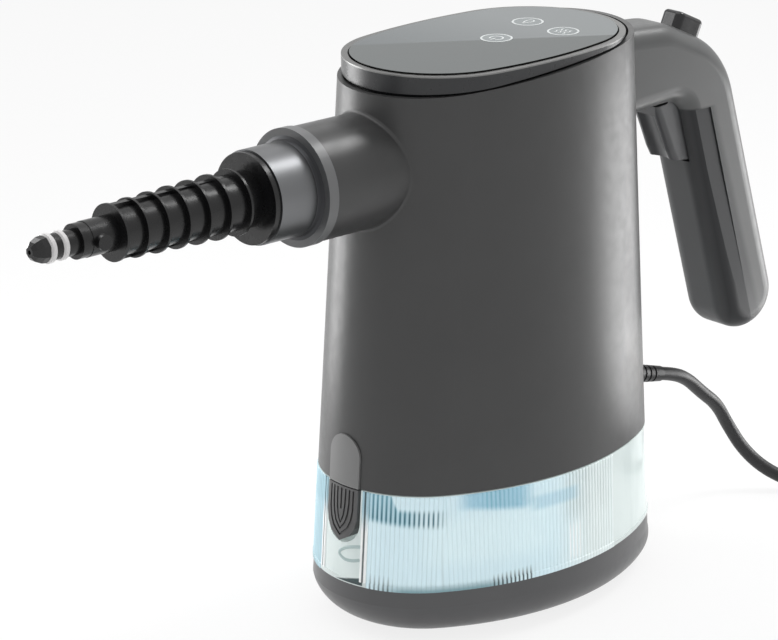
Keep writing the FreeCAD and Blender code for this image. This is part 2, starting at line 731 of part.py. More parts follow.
def build_boiler():
    """Cast boiler on its bracket, with thermostats and the steam pipe to the nozzle."""
    length = BOILER_BACK - BOILER_FRONT
    drum = rod("boiler_drum", (BOILER_FRONT, 0, BOILER_Z), (1, 0, 0), f"{BOILER_RADIUS}", f"{length}")
    ribs = []
    for i in range(4):
        start = (BOILER_FRONT + 14 + 16 * i, 0, BOILER_Z)
        ribs.append(rod(f"boiler_rib_{i}", start, (1, 0, 0), f"{BOILER_RADIUS + 3}", "4"))
    outlet = rod("boiler_outlet", (BOILER_FRONT - 6, 0, BOILER_Z + 14), (1, 0, 0), "5.5", "8")
    inlet = rod("boiler_inlet", (BOILER_BACK - 2, 0, BOILER_Z - 12), (1, 0, 0), "4.5", "8")
    space = rod("boiler_space", (BOILER_FRONT + 6, 0, BOILER_Z), (1, 0, 0), "18.0", f"{length - 12}")
    pad_level = BOILER_Z + BOILER_RADIUS - 0.7
    flats = [
        rod(f"boiler_flat_{i}", (x, 0, pad_level), (0, 0, 1), "5.7", "10")
        for i, x in enumerate(THERMOSTAT_X)
    ]
    keep(cut("boiler_whole", fuse("boiler_form", drum, *ribs, outlet, inlet), space, *flats), "boiler")

    deck = size("deck_top")
    half = BRACKET_HALF
    plates = []
    windows = []
    for i, x in enumerate((BRACKET_FRONT, BRACKET_BACK)):
        plates.append(block(f"bracket_plate_{i}", (x, -half, deck), (x + 3, half, BOILER_Z)))
        plates.append(block(f"bracket_foot_{i}", (x - 9, -half, deck), (x + 3, half, deck + 2.5)))
        windows.append(block(f"bracket_window_{i}", (x - 1, 6 - half, 86), (x + 4, half - 6, 128)))
    strip = block("bracket_strip", (BRACKET_FRONT, -half, deck), (BRACKET_BACK, 6 - half, deck + 2.5))
    saddle = rod("bracket_saddle", (-60, 0, BOILER_Z), (1, 0, 0), f"{BOILER_RADIUS + 0.05}", "100")
    keep(cut("bracket_whole", fuse("bracket_form", *plates, strip), saddle, *windows), "boiler_bracket")
    heads = []
    for i, (x, y) in enumerate(((-48, 12), (-48, -12), (17, 12), (17, -12))):
        heads.append(rod(f"bracket_screw_{i}", (x, y, deck + 2.5), (0, 0, 1), "3.0", "2.2"))
    keep(group("bracket_heads", heads), "bracket_screws")

    cans = []
    for i, x in enumerate(THERMOSTAT_X):
        can = rod(f"thermostat_can_{i}", (x, 0, pad_level), (0, 0, 1), "5.5", "6")
        tabs = block(f"thermostat_tabs_{i}", (x - 1, -10, pad_level + 3), (x + 1, 10, pad_level + 4.5))
        cans.append(fuse(f"thermostat_{i}", can, tabs))
    keep(group("thermostat_pair", cans), "thermostats")

    height = size("nozzle_height")
    pipe = (
        (BOILER_FRONT - 6, 0, BOILER_Z + 14),
        (-62, 0, BOILER_Z + 14),
        (-64, 0, BOILER_Z + 31),
        (-76, 0, height),
        (-96, 0, height),
    )
    keep(tube("steam_pipe_run", pipe, 3.0), "steam_pipe")


PUMP_Z = 110.0


def build_pump():
    """Vibration pump on two rubber blocks, with its hoses and the wires behind it."""
    low = PUMP_Z - 15
    case = block("pump_case", (-14, -16, low), (14, 16, low + 30))
    coil = rod("pump_coil", (-30, 0, PUMP_Z), (1, 0, 0), "12.0", "60")
    inlet = rod("pump_inlet", (30, 0, PUMP_Z), (1, 0, 0), "4.0", "8")
    outlet = rod("pump_outlet", (-38, 0, PUMP_Z), (1, 0, 0), "4.0", "8")
    keep(fuse("pump_whole", case, coil, inlet, outlet), "pump")
    pads = []
    for i, x in enumerate((-10, 4)):
        pads.append(block(f"pump_pad_{i}", (x, -14, size("deck_top")), (x + 6, 14, low)))
    keep(group("pump_pads", pads), "pump_mounts")
    nipple = size("collar_top") + 3.4
    suction = (
        (SPIGOT_X, 0, PUMP_Z),
        (50, 0, PUMP_Z),
        (50, 0, 98),
        (SPIGOT_X, 0, 98),
        (SPIGOT_X, 0, nipple),
    )
    keep(tube("suction_run", suction, 2.5), "suction_hose")
    feed = (
        (-38, 0, PUMP_Z),
        (-51, 0, PUMP_Z),
        (-56, 14, 114),
        (-50, 32, 119),
        (-28, 38, 124),
        (8, 38, 131),
        (38, 32, 139),
        (53, 18, 146),
        (52, 0, BOILER_Z - 12),
        (BOILER_BACK + 6, 0, BOILER_Z - 12),
    )
    keep(tube("feed_run", feed, 2.5), "feed_hose")
    loom = (
        (72.0, 0, 81.0),
        (65.0, 3, 90),
        (63.0, 14, 108),
        (62.0, 24, 135),
        (60.0, 27, 170),
        (54.0, 26, 205),
        (46.0, 18, 226),
        (36.0, 8, 236),
    )
    lead = (
        (46.0, -6, 236),
        (58.0, -5, 226),
        (80.0, -3, 219.5),
        (114.0, 0, 219),
        (124.5, 0, 211),
        (132.0, 0, 207.3),
    )
    keep(group("wire_pair", [tube("loom_run", loom, 2.2), tube("switch_lead", lead, 1.1)]), "wire_harness")


# ---------------------------------------------------------------- nozzle
# eight-sided rings of the nose: distance back from its end and share of its full radius
NOSE_RINGS = ((0.0, 0.4), (1.5, 0.72), (4.2, 0.94), (6.7, 1.0))


def build_nozzle():
    """Ring, collar, finned barrel with bayonet pins, o-rings and tip on one axis."""
    ring = (
        ("-ring_end", "boss_bore"),
        ("-ring_end", "ring_radius"),
        ("-boss_end", "ring_radius"),
        ("-boss_end", "boss_bore"),
    )
    keep(revolved("ring_turn", ring, "nozzle_height"), "nozzle_ring")
    collar = (
        ("-collar_end", "17.2"),
        ("-collar_end", "collar_radius"),
        ("-(ring_end + 1.1 * collar_foot)", "collar_radius"),
        ("-(ring_end + 0.35 * collar_foot)", "collar_radius + 0.3 * collar_foot"),
        ("-ring_end", "collar_radius + collar_foot"),
        ("-ring_end", "collar_radius"),
        ("-92", "collar_radius"),
        ("-92", "17.2"),
    )
    keep(revolved("collar_turn", collar, "nozzle_height"), "nozzle_collar")

    barrel = [
        ("-96", "steam_bore"),
        ("-stem_end", "steam_bore"),
        ("-stem_end", "pilot_radius"),
        ("-pilot_start", "pilot_radius"),
        ("-pilot_start", "stem_radius"),
    ]
    for i in reversed(range(FIN_COUNT)):
        middle = f"(fin_first + {i} * fin_pitch)"
        radius = f"(fin_radius - {i} * fin_step)"
        core = f"core_ratio * {radius}"
        front_root = f"core_ratio * (fin_radius - {i + 1} * fin_step)"
        if i == FIN_COUNT - 1:
            front_root = "stem_radius"
        barrel.append((f"-({middle} + fin_thick / 2)", front_root))
        barrel.append((f"-({middle} + fin_thick / 2)", radius))
        barrel.append((f"-({middle} - fin_thick / 2)", radius))
        barrel.append((f"-({middle} - fin_thick / 2)", core))
    barrel += [
        ("-disc_end", "core_ratio * fin_radius"),
        ("-disc_end", "disc_radius"),
        ("-collar_end", "disc_radius"),
        ("-collar_end", "16.8"),
        ("-96", "16.8"),
    ]
    form = revolved("barrel_turn", barrel, "nozzle_height")
    height = size("nozzle_height")
    spines = [
        block(f"barrel_spine_{i}", (-204.0, -1.3, low), (-134.0, 1.3, low + 5.6))
        for i, low in enumerate((height + 6.0, height - 11.6))
    ]
    pins = rod("barrel_pins", (-214.1, -9.5, height), (0, 1, 0), "3.2", "19")
    bore = rod("barrel_bore", (-230, 0, height), (1, 0, 0), "steam_bore", "140")
    keep(cut("barrel_whole", fuse("barrel_form", form, *spines, pins), bore), "nozzle_barrel")

    nose = new_body("nose_form", "nozzle_height")
    rings = []
    for i, (back, share) in enumerate(NOSE_RINGS):
        sketch = new_sketch(nose, f"nose_ring_{i}", "YZ_Plane", f"{back} - tip_end")
        corners = []
        for step in range(8):
            turn = math.radians(22.5 + 45 * step)
            reach = f"{share} * nose_radius"
            corners.append((f"{reach} * {math.cos(turn):.5f}", f"{reach} * {math.sin(turn):.5f}"))
        outline(sketch, corners)
        rings.append(sketch)
    feature(nose, "AdditiveLoft", "nose_loft", rings[0], Sections=rings[1:], Ruled=True)
    neck = (
        ("5.7 - tip_end", "0.5"),
        ("5.7 - tip_end", "neck_radius"),
        ("9.7 - tip_end", "neck_radius"),
        ("9.7 - tip_end", "land_radius"),
        ("12.7 - tip_end", "land_radius"),
        ("12.7 - tip_end", "neck_radius"),
        ("15.7 - tip_end", "neck_radius"),
        ("15.7 - tip_end", "land_radius"),
        ("-stem_end", "land_radius"),
        ("-stem_end", "0.5"),
    )
    jet = rod("tip_jet", (-250, 0, height), (1, 0, 0), "0.9", "30")
    tip = fuse("tip_form", nose, revolved("neck_turn", neck, "nozzle_height"))
    keep(cut("tip_whole", tip, jet), "nozzle_tip")
    for label, along in (("o_ring_rear", 14.2), ("o_ring_front", 8.2)):
        profile = (
            (f"{along - 1.4:.2f} - tip_end", "neck_radius + 0.02"),
            (f"{along - 1.4:.2f} - tip_end", "5.4"),
            (f"{along - 0.8:.2f} - tip_end", "6.05"),
            (f"{along + 0.8:.2f} - tip_end", "6.05"),
            (f"{along + 1.4:.2f} - tip_end", "5.4"),
            (f"{along + 1.4:.2f} - tip_end", "neck_radius + 0.02"),
        )
        keep(revolved(label + "_turn", profile, "nozzle_height"), label)


# ---------------------------------------------------------------- handle parts
def grip_line(up):
    """Front of the grip at a height."""
    return 109.2 + (205.0 - up) * size("grip_slope")


TRIGGER_HALF = 8.5
PIVOT = (113.0, 210.0)
SPLIT_TOP = 126.0
GRIP_MIDDLE = 19.0
CORE_LOW = 98.0
CORE_HIGH = 170.0


def build_handle():
    """Handle back with the bridge, the grip's front cover and the screw that holds it."""
    low = 60.0
    front_points = (
        ("80", "200"),
        (f"{SPLIT_TOP}", "200"),
        (f"{SPLIT_TOP} + (200 - {low}) * grip_slope", f"{low}"),
        ("80", f"{low}"),
    )
    front_region = prism("front_region", "XZ_Plane", front_points, "40")
    narrow = "(handle_half - step_depth)"
    slab_points = (
        (f"-{narrow}", "201"),
        (f"{narrow}", "201"),
        (f"{narrow}", "170"),
        ("handle_half", "112"),
        ("handle_half", "70"),
        ("-handle_half", "70"),
        ("-handle_half", "112"),
        (f"-{narrow}", "170"),
    )
    slab = prism("front_slab", "YZ_Plane", slab_points, "150", "80", False)
    bay = bay_form("bay", TRIGGER_HALF + 0.6)
    tunnel = block("bridge_tunnel", (60, -9.5, 211), (126, 9.5, 226))
    seat = slider_box("slider_seat", -15.0, 14.0, -1.9, 8.0, 6.4)
    slot = slider_box("slider_slot", -8.5, 9.0, -12.0, 2.0, 2.4)
    core = grip_box("grip_core", CORE_LOW, CORE_HIGH, 0.0, 24.0, 21.0)
    axle = rod("pin_hole", (PIVOT[0], -12.4, PIVOT[1]), (0, 1, 0), "1.5", "24.8")
    shank = on_grip(rod("screw_hole", (0, 0, 0), (0, 0, 1), "1.6", "40"), CORE_LOW - 24, 0.0)
    bore = on_grip(rod("screw_recess", (0, 0, 0), (0, 0, 1), "3.3", "20"), CORE_LOW - 25, 0.0)
    back = cut("back_region", handle_outside, front_region)
    keep(cut("handle_back_whole", back, bay, tunnel, seat, slot, core, axle, shank, bore), "handle_back")

    front = common("front_form", handle_outside, front_region, slab)
    front_bay = bay_form("bay_front", TRIGGER_HALF + 0.6)
    front_core = grip_box("front_core", CORE_LOW, CORE_HIGH, 0.0, 24.0, 21.0)
    hollow = cut("front_hollow", front, front_bay, front_core)
    tab = grip_box("cover_tab", CORE_LOW, CORE_LOW + 5.0, -4.0, 16.0, 14.0)
    tab_hole = on_grip(rod("tab_hole", (0, 0, 0), (0, 0, 1), "1.6", "20"), CORE_LOW - 5, 0.0)
    keep(cut("grip_front_whole", fuse("front_with_tab", hollow, tab), tab_hole), "grip_front")

    head = on_grip(rod("screw_head", (0, 0, 0), (0, 0, 1), "3.2", "2.4"), CORE_LOW - 8.3, 0.0)
    thread = on_grip(rod("screw_thread", (0, 0, 0), (0, 0, 1), "1.6", "12"), CORE_LOW - 7.0, 0.0)
    keep(fuse("grip_screw_whole", head, thread), "grip_screw")


def bay_form(name, half):
    """The room that the trigger swings in: open to the front and below the bridge."""
    points = (
        ("95", "216"),
        ("122", "216"),
        ("138", "208"),
        ("138", "178"),
        ("134", "174.2"),
        ("105", "174.2"),
        ("95", "190"),
    )
    return prism(name, "XZ_Plane", points, f"{2 * half}")


def on_grip(item, up, along, across=0.0):
    """Stands a piece at a height on the grip's own middle line, shifted square to it."""
    tilt = math.degrees(math.atan(size("grip_slope")))
    middle = Placement(Vector(grip_line(up) + GRIP_MIDDLE, 0, up), Rotation(Vector(0, 1, 0), -tilt))
    item.Placement = middle.multiply(Placement(Vector(along, across, 0), Rotation()))
    return item


def grip_box(name, low, high, along, depth, width):
    """A box along the grip between two heights."""
    slope = size("grip_slope")
    item = doc.addObject("Part::Box", name)
    item.Length, item.Width, item.Height = depth, width, (high - low) * math.sqrt(1 + slope * slope)
    return on_grip(item, low, along - depth / 2, -width / 2)


# the lock slider rides on the handle's top slope
SLOPE_ANGLE = 24.7
SLIDER_REST = 3.0
SLIDER_MIDDLE = (122.0, 232.4)
SLIDER_TALL = 9.6


def slider_box(name, back, front, low, high, half):
    """A box in the slope's own directions about the slider's middle."""
    item = doc.addObject("Part::Box", name)
    item.Length, item.Width, item.Height = front - back, 2 * half, high - low
    turn = Rotation(Vector(0, 1, 0), SLOPE_ANGLE)
    place = Placement(Vector(SLIDER_MIDDLE[0], 0, SLIDER_MIDDLE[1]), turn)
    item.Placement = place.multiply(Placement(Vector(back, -half, low), Rotation()))
    return item


def build_slider():
    """Lock slider: a rounded pad with a stem through the handle's slot."""
    pad = new_body("slider_pad")
    sketch = new_sketch(pad, "slider_outline", "XY_Plane")
    outline(sketch, (("-8.8", "-6"), ("8.8", "-6"), ("8.8", "6"), ("-8.8", "6")))
    feature(pad, "Pad", "slider_body", sketch, Length=f"{SLIDER_TALL}")

    def upright(edge):
        box = edge.BoundBox
        return box.ZLength > 6 and box.XLength < 0.01

    round_edges(pad, "slider_corners", 3.4, upright)

    def top(edge):
        return edge.BoundBox.ZMin > SLIDER_TALL - 0.1

    round_edges(pad, "slider_crown", 2.0, top)
    turn = Rotation(Vector(0, 1, 0), SLOPE_ANGLE)
    place = Placement(Vector(SLIDER_MIDDLE[0], 0, SLIDER_MIDDLE[1]), turn)
    pad.Placement = place.multiply(Placement(Vector(-SLIDER_REST, 0, -1.6), Rotation()))
    stem = slider_box("slider_stem", -7.0, -1.0, -6.0, 1.0, 2.0)
    keep(fuse("slider_whole", pad, stem), "lock_slider")


# the finger trough runs down the blade, its axis standing off the front face
TROUGH_AXIS = (0.431, 0, -0.902)
TROUGH_START = (93.6, 0, 196.0)


def build_trigger():
    """Trigger blade with a finger trough, its pin, spring and switch."""
    points = (
        ("99.0", "198.6"),
        ("103.2", "189.5"),
        ("107.0", "180.8"),
        ("109.6", "176.4"),
        ("119.5", "175.4"),
        ("124.0", "180.0"),
        ("123.0", "200.0"),
        ("117.4", "213.6"),
        ("109.0", "213.6"),
        ("104.0", "204.0"),
        ("97.4", "203.4"),
    )
    body = prism("trigger_blade", "XZ_Plane", points, f"{2 * TRIGGER_HALF}")

    def front_edges(edge):
        box = edge.BoundBox
        flat = abs(abs(box.YMin) - TRIGGER_HALF) < 0.01 and box.YLength < 0.01
        return flat and box.XMax < 112 and box.ZMin > 176 and box.ZMax < 199 and box.ZLength > 3

    round_edges(body, "trigger_edges", 3.0, front_edges)
    trough = rod("trigger_trough", TROUGH_START, TROUGH_AXIS, "8.0", "40")
    hole = rod("trigger_hole", (PIVOT[0], -15, PIVOT[1]), (0, 1, 0), "1.55", "30")
    keep(cut("trigger_whole", body, trough, hole), "trigger")
    keep(rod("trigger_axle", (PIVOT[0], -12.4, PIVOT[1]), (0, 1, 0), "1.5", "24.8"), "trigger_pin")
    keep(spring("trigger_coil", (124.2, 0, 184.0), (1, 0, 0), 2.6, 0.35, 13.4, 6), "trigger_spring")
    case = block("switch_case", (129.6, -3.2, 192.0), (138.0, 3.2, 206.0))
    lever = block("switch_lever", (126.6, -1.6, 192.6), (129.6, 1.6, 196.6))
    keep(fuse("switch_whole", case, lever), "micro_switch")


# ---------------------------------------------------------------- cord
CORD_ROUTE = (
    (112.7, 0.0, 71.1),
    (121.8, 0.0, 68.9),
    (132.1, 0.3, 63.9),
    (142.9, 0.6, 54.4),
    (154.2, 0.9, 45.7),
    (163.0, 1.5, 32.9),
    (169.6, -2.7, 20.1),
    (176.1, -10.2, 10.9),
    (183.4, -20.2, 5.2),
    (189.8, -32.0, 3.3),
    (192.7, -43.9, 3.3),
    (192.2, -57.0, 3.3),
    (192.2, -74.5, 3.3),
)
COIL_MIDDLE = (234.2, -74.5)
FULL_LAYERS = 3
LAST_START = 262.0
LAST_SWEEP = 108.0
TIE_SPOKE = 215.0
PLUG_TURN = 100.0
PLUG_SHIFT = 17.2
RELIEF_GROOVES = 6


def build_cord():
    """Strain relief, the free cord, the wound length and the plug lying on it."""
    turn = Placement(Vector(*gland_mouth), Rotation(Vector(0, 1, 0), math.degrees(gland_tilt)))
    taper = (
        ("-2", "0.9"),
        ("-2", "6.2"),
        ("2.4", "5.6"),
        ("20", "4.1"),
        ("30.9", "3.6"),
        ("30.9", "0.9"),
    )
    sleeve = revolved("relief_sleeve", taper)
    sleeve.Placement = turn
    outer = cut("relief_outer", sleeve, column_body("relief_wall", "55", "100", "-0.05"))
    grooves = []
    for i in range(RELIEF_GROOVES):
        at = 6.0 + i * 3.6
        band = rod(f"relief_band_{i}", gland_start(at), gland_axis, "8.0", "1.2")
        heart = rod(f"relief_core_{i}", gland_start(at - 0.1), gland_axis, f"{4.4 - 0.2 * i}", "1.4")
        grooves.append(cut(f"relief_groove_{i}", band, heart))
    shank = rod("relief_shank", gland_start(-6), gland_axis, f"{GLAND_RADIUS}", "9")
    lip = common(
        "relief_lip",
        rod("relief_flange", gland_start(-6), gland_axis, "5.8", "9"),
        column_body("relief_inside", "55", "100", "wall + 0.05"),
    )
    bore = rod("relief_bore", gland_start(-7), gland_axis, "0.9", "60")
    relief = fuse("relief_form", cut("relief_ribbed", outer, *grooves), shank, lip)
    keep(cut("relief_whole", relief, bore), "strain_relief")
    keep(tube("cord_run", CORD_ROUTE, size("cord_diameter") / 2), "power_cord")

    inner, outer, one = "coil_inner", "coil_outer", "cord_diameter"
    turns = coil_ring("coil_turns", inner, outer, "0.1", f"{FULL_LAYERS} * {one} + 0.1", "360")
    far = f"{outer} - {one}"
    low, high = f"{FULL_LAYERS} * {one}", f"{FULL_LAYERS + 1} * {one} + 0.1"
    upper = coil_ring("coil_upper", inner, far, low, high, "360")
    near = f"{inner} + {one}"
    low, high = f"{FULL_LAYERS + 1} * {one}", f"{FULL_LAYERS + 2} * {one} + 0.1"
    last = coil_ring("coil_last", near, far, low, high, f"{LAST_SWEEP}")
    last.Placement = Placement(Vector(*COIL_MIDDLE, 0), Rotation(Vector(0, 0, 1), LAST_START))
    notch = on_spoke(block("coil_notch", (0, 0, 0), (30, 12.4, 1.3)), TIE_SPOKE, 20.0, -6.2, 0)
    keep(cut("coil_whole", fuse("coil_form", turns, upper, last), notch), "cord_coil")
    build_plug()


def coil_ring(name, inner, outer, low, high, sweep):
    """A ring of square section about the coil's upright axis."""
    body = new_body(name)
    sketch = new_sketch(body, name + "_outline", "XZ_Plane")
    outline(sketch, ((inner, low), (outer, low), (outer, high), (inner, high)))
    feature(body, "Revolution", name + "_turn", sketch, ReferenceAxis=(sketch, ["V_Axis"]), Angle=sweep)
    body.Placement = Placement(Vector(*COIL_MIDDLE, 0), Rotation())
    return body


def on_spoke(item, angle, along, across, up):
    """Places a piece in the directions of one spoke of the coil."""
    place = Placement(Vector(*COIL_MIDDLE, up), Rotation(Vector(0, 0, 1), angle))
    item.Placement = place.multiply(Placement(Vector(along, across, 0), Rotation()))
    return item


def build_plug():
    """Two-blade plug lying on the coil at the end of the last turn, and the tie."""
    reach = (size("coil_inner") + size("coil_outer")) / 2
    up = (FULL_LAYERS + 1) * size("cord_diameter") + 0.1
    body = new_body("plug_form")
    sketch = new_sketch(body, "plug_outline", "XY_Plane")
    outline(sketch, (("-17", "-6"), ("-5", "-11"), ("14", "-11"), ("14", "11"), ("-5", "11"), ("-17", "6")))
    feature(body, "Pad", "plug_pad", sketch, Length="12.5")

    def outer(edge):
        return edge.BoundBox.ZLength > 12 or edge.BoundBox.ZLength < 0.01

    round_edges(body, "plug_rounding", 2.2, outer)
    keep(on_spoke(body, PLUG_TURN, PLUG_SHIFT, -reach, up), "plug_body")
    blades = []
    for side in (-6.35, 6.35):
        blade = block(f"plug_blade_{side > 0}", (0, 0, 0), (18.0, 1.5, 6.35))
        blades.append(on_spoke(blade, PLUG_TURN, PLUG_SHIFT + 14.0, side - reach - 0.75, up + 3.1))
    keep(group("plug_blade_pair", blades), "plug_blades")
    near, far = size("coil_inner") - 2.2, size("coil_outer") + 1.6
    top = (FULL_LAYERS + 1) * size("cord_diameter") + 0.3
    outside = block("tie_outside", (near, -6, 0.1), (far, 6, top + 1.2))
    inside = block("tie_inside", (near + 1.4, -7, 1.3), (far - 1.4, 7, top))
    keep(on_spoke(cut("tie_band", outside, inside), TIE_SPOKE, 0, 0, 0), "cord_tie")


build_shell()
build_top()
build_latch_cover()
build_tank()
build_lid()
build_base()
build_button()
build_deck()
build_boiler()
build_pump()
build_nozzle()
build_handle()
build_slider()
build_trigger()
build_cord()


# ---------------------------------------------------------------- checks and export
doc.recompute()
for item in doc.Objects:
    if "Invalid" in item.State or "Error" in item.State:
        raise RuntimeError(f"{item.Name} failed: {item.State}")
os.makedirs("parts", exist_ok=True)
for item in kept:
    shape = item.Shape
    if shape.isNull() or not shape.isValid() or not shape.Solids:
        raise RuntimeError(item.Label + " has no valid solid")
    shape.exportStep(f"parts/{item.Label}.step")
print(len(kept), "sub-parts written")
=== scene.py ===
import math

import bpy
from mathutils import Matrix, Vector


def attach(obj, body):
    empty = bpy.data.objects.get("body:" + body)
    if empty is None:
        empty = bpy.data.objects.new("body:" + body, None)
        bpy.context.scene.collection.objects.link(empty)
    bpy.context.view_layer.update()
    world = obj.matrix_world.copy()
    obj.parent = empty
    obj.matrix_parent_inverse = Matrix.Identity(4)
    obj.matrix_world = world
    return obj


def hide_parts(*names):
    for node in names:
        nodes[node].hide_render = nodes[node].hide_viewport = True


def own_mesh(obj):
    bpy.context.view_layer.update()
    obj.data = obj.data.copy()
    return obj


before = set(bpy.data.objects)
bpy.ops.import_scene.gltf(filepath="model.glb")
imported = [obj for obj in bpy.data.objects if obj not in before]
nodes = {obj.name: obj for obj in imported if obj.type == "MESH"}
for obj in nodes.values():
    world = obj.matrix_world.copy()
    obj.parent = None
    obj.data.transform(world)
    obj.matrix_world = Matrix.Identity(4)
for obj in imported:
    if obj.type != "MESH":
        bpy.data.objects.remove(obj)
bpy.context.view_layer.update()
print("stage: frame loaded")

view = {
    "place": (-0.962357, -1.003533, 0.591737),
    "back": (-0.634702, -0.703523, 0.319701),
    "right": (0.74249, -0.66986, 0.0),
    "sensor": 36.0,
    "lens": 154.33,
    "clip": (0.05, 30.0),
}


def setCamera():
    back, right = Vector(view["back"]), Vector(view["right"])
    lens = bpy.data.cameras.new("camera")
    lens.sensor_width = view["sensor"]
    lens.lens = view["lens"]
    lens.clip_start, lens.clip_end = view["clip"]
    camera = bpy.data.objects.new("camera", lens)
    bpy.context.scene.collection.objects.link(camera)
    turn = Matrix((right, back.cross(right), back)).transposed().to_4x4()
    camera.matrix_world = Matrix.Translation(view["place"]) @ turn
    bpy.context.scene.camera = camera
    bpy.context.scene.view_settings.view_transform = "Standard"


setCamera()


class Finish:
    # one node tree that ends in a surface shader
    def __init__(self, name):
        self.material = bpy.data.materials.new(name)
        self.material.use_nodes = True
        self.tree = self.material.node_tree
        self.tree.nodes.clear()
        self.output = self.add("ShaderNodeOutputMaterial")
        self.coords = self.add("ShaderNodeTexCoord").outputs["Object"]

    def add(self, kind, **settings):
        node = self.tree.nodes.new(kind)
        for key, setting in settings.items():
            setattr(node, key, setting)
        return node

    def put(self, socket, entry):
        if isinstance(entry, bpy.types.NodeSocket):
            self.tree.links.new(entry, socket)
        elif isinstance(entry, (tuple, list)) and len(entry) == 3 and socket.type == "RGBA":
            socket.default_value = (*entry, 1.0)
        else:
            socket.default_value = entry

    def math(self, operation, *entries):
        node = self.add("ShaderNodeMath", operation=operation)
        for socket, entry in zip(node.inputs, entries):
            self.put(socket, entry)
        return node.outputs[0]

    def times(self, first, *others):
        for other in others:
            first = self.math("MULTIPLY", first, other)
        return first

    def axes(self):
        node = self.add("ShaderNodeSeparateXYZ")
        self.put(node.inputs[0], self.coords)
        return node.outputs

    def facing(self):
        # which way the surface faces at rest, along each axis
        node = self.add("ShaderNodeSeparateXYZ")
        self.put(node.inputs[0], self.add("ShaderNodeTexCoord").outputs["Normal"])
        return node.outputs

    def noise(self, scale, detail=2.0, roughness=0.5, stretch=(1, 1, 1)):
        mapping = self.add("ShaderNodeMapping")
        self.put(mapping.inputs["Vector"], self.coords)
        mapping.inputs["Scale"].default_value = stretch
        node = self.add("ShaderNodeTexNoise")
        self.put(node.inputs["Vector"], mapping.outputs[0])
        node.inputs["Scale"].default_value = scale
        node.inputs["Detail"].default_value = detail
        node.inputs["Roughness"].default_value = roughness
        return node.outputs["Fac"]

    def span(self, source, low, high, start=0.0, end=1.0, smooth=False):
        kind = "SMOOTHSTEP" if smooth else "LINEAR"
        node = self.add("ShaderNodeMapRange", interpolation_type=kind)
        for socket, entry in zip(node.inputs, (source, low, high, start, end)):
            self.put(socket, entry)
        return node.outputs[0]

    def window(self, source, low, high, soft):
        # one between low and high, falling to zero over the soft margin
        rise = self.span(source, low - soft, low + soft, smooth=True)
        fall = self.span(source, high + soft, high - soft, smooth=True)
        return self.times(rise, fall)

    def mix(self, factor, first, second):
        node = self.add("ShaderNodeMix", data_type="RGBA")
        self.put(node.inputs["Factor"], factor)
        for socket, entry in zip([i for i in node.inputs if i.type == "RGBA"], (first, second)):
            self.put(socket, entry)
        return [o for o in node.outputs if o.type == "RGBA"][0]

    def layers(self, base, *steps):
        for factor, color in steps:
            base = self.mix(factor, base, color)
        return base

    def attribute(self, name):
        return self.add("ShaderNodeAttribute", attribute_name=name).outputs["Fac"]

    def bump(self, height, strength, distance):
        node = self.add("ShaderNodeBump")
        self.put(node.inputs["Strength"], strength)
        self.put(node.inputs["Distance"], distance)
        self.put(node.inputs["Height"], height)
        return node.outputs[0]

    def principled(self, **inputs):
        node = self.add("ShaderNodeBsdfPrincipled")
        for key, entry in inputs.items():
            self.put(node.inputs[key.replace("_", " ")], entry)
        return node.outputs[0]

    def done(self, shader):
        self.put(self.output.inputs["Surface"], shader)
        return self.material


surface = {
    # noise scales per metre, the share of a noise that is used, and the depth of the grain
    "blotch": 34.0,
    "cloud": 220.0,
    "grain": 2600.0,
    "streak": 900.0,
    "range": (0.3, 0.7),
    "depth": 0.00004,
    "streakDepth": 0.00003,
    # how far roughness strays either way, in plastic and in metal, and metal's two tints
    "stray": (-0.04, 0.04),
    "metalStray": (-0.06, 0.08),
    "metalTints": (0.9, 1.08),
}


def satin(s, tint, rough, strength=0.2, grain=surface["grain"], depth=surface["depth"], **more):
    # plastic whose gloss wanders between two roughnesses over a fine grain
    roughness = s.span(s.noise(surface["cloud"], 3.0), *surface["range"], *rough)
    normal = s.bump(s.noise(grain), strength, depth)
    return s.done(s.principled(Base_Color=tint, Roughness=roughness, Normal=normal, **more))


def moulded(name, color, rough, spread=0.1, **more):
    s = Finish(name)
    blotch = s.noise(surface["blotch"], 3.0)
    tone = s.span(blotch, *surface["range"], 1.0 - spread / 2, 1.0 + spread / 2)
    shade = s.add("ShaderNodeVectorMath", operation="SCALE")
    shade.inputs[0].default_value = color
    s.put(shade.inputs["Scale"], tone)
    return satin(s, shade.outputs[0], [rough + stray for stray in surface["stray"]], **more)


def brushed(s, tint, streaks, rough, strength):
    # metal whose gloss and relief follow the same streaks
    roughness = s.span(streaks, *surface["range"], *rough)
    normal = s.bump(streaks, strength, surface["streakDepth"])
    return s.done(s.principled(Base_Color=tint, Metallic=1.0, Roughness=roughness, Normal=normal))


def metal(name, color, rough, stretch=(1, 1, 1), strength=0.08):
    s = Finish(name)
    streaks = s.noise(surface["streak"], 3.0, 0.6, stretch)
    dull, bright = [tuple(min(1.0, part * c) for c in color) for part in surface["metalTints"]]
    tint = s.mix(streaks, dull, bright)
    return brushed(s, tint, streaks, [rough + stray for stray in surface["metalStray"]], strength)


def dress(material, *names):
    for name in names:
        mesh = nodes[name].data
        mesh.materials.clear()
        mesh.materials.append(material)


def place(name, mesh, body, material, replaces=()):
    piece = bpy.data.objects.new(name, mesh)
    bpy.context.scene.collection.objects.link(piece)
    mesh.materials.append(material)
    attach(piece, body)
    if replaces:
        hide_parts(*replaces)
    return piece


def meshFrom(name, points, faces):
    mesh = bpy.data.meshes.new(name)
    mesh.from_pydata([tuple(p) for p in points], [], faces)
    mesh.update()
    return mesh


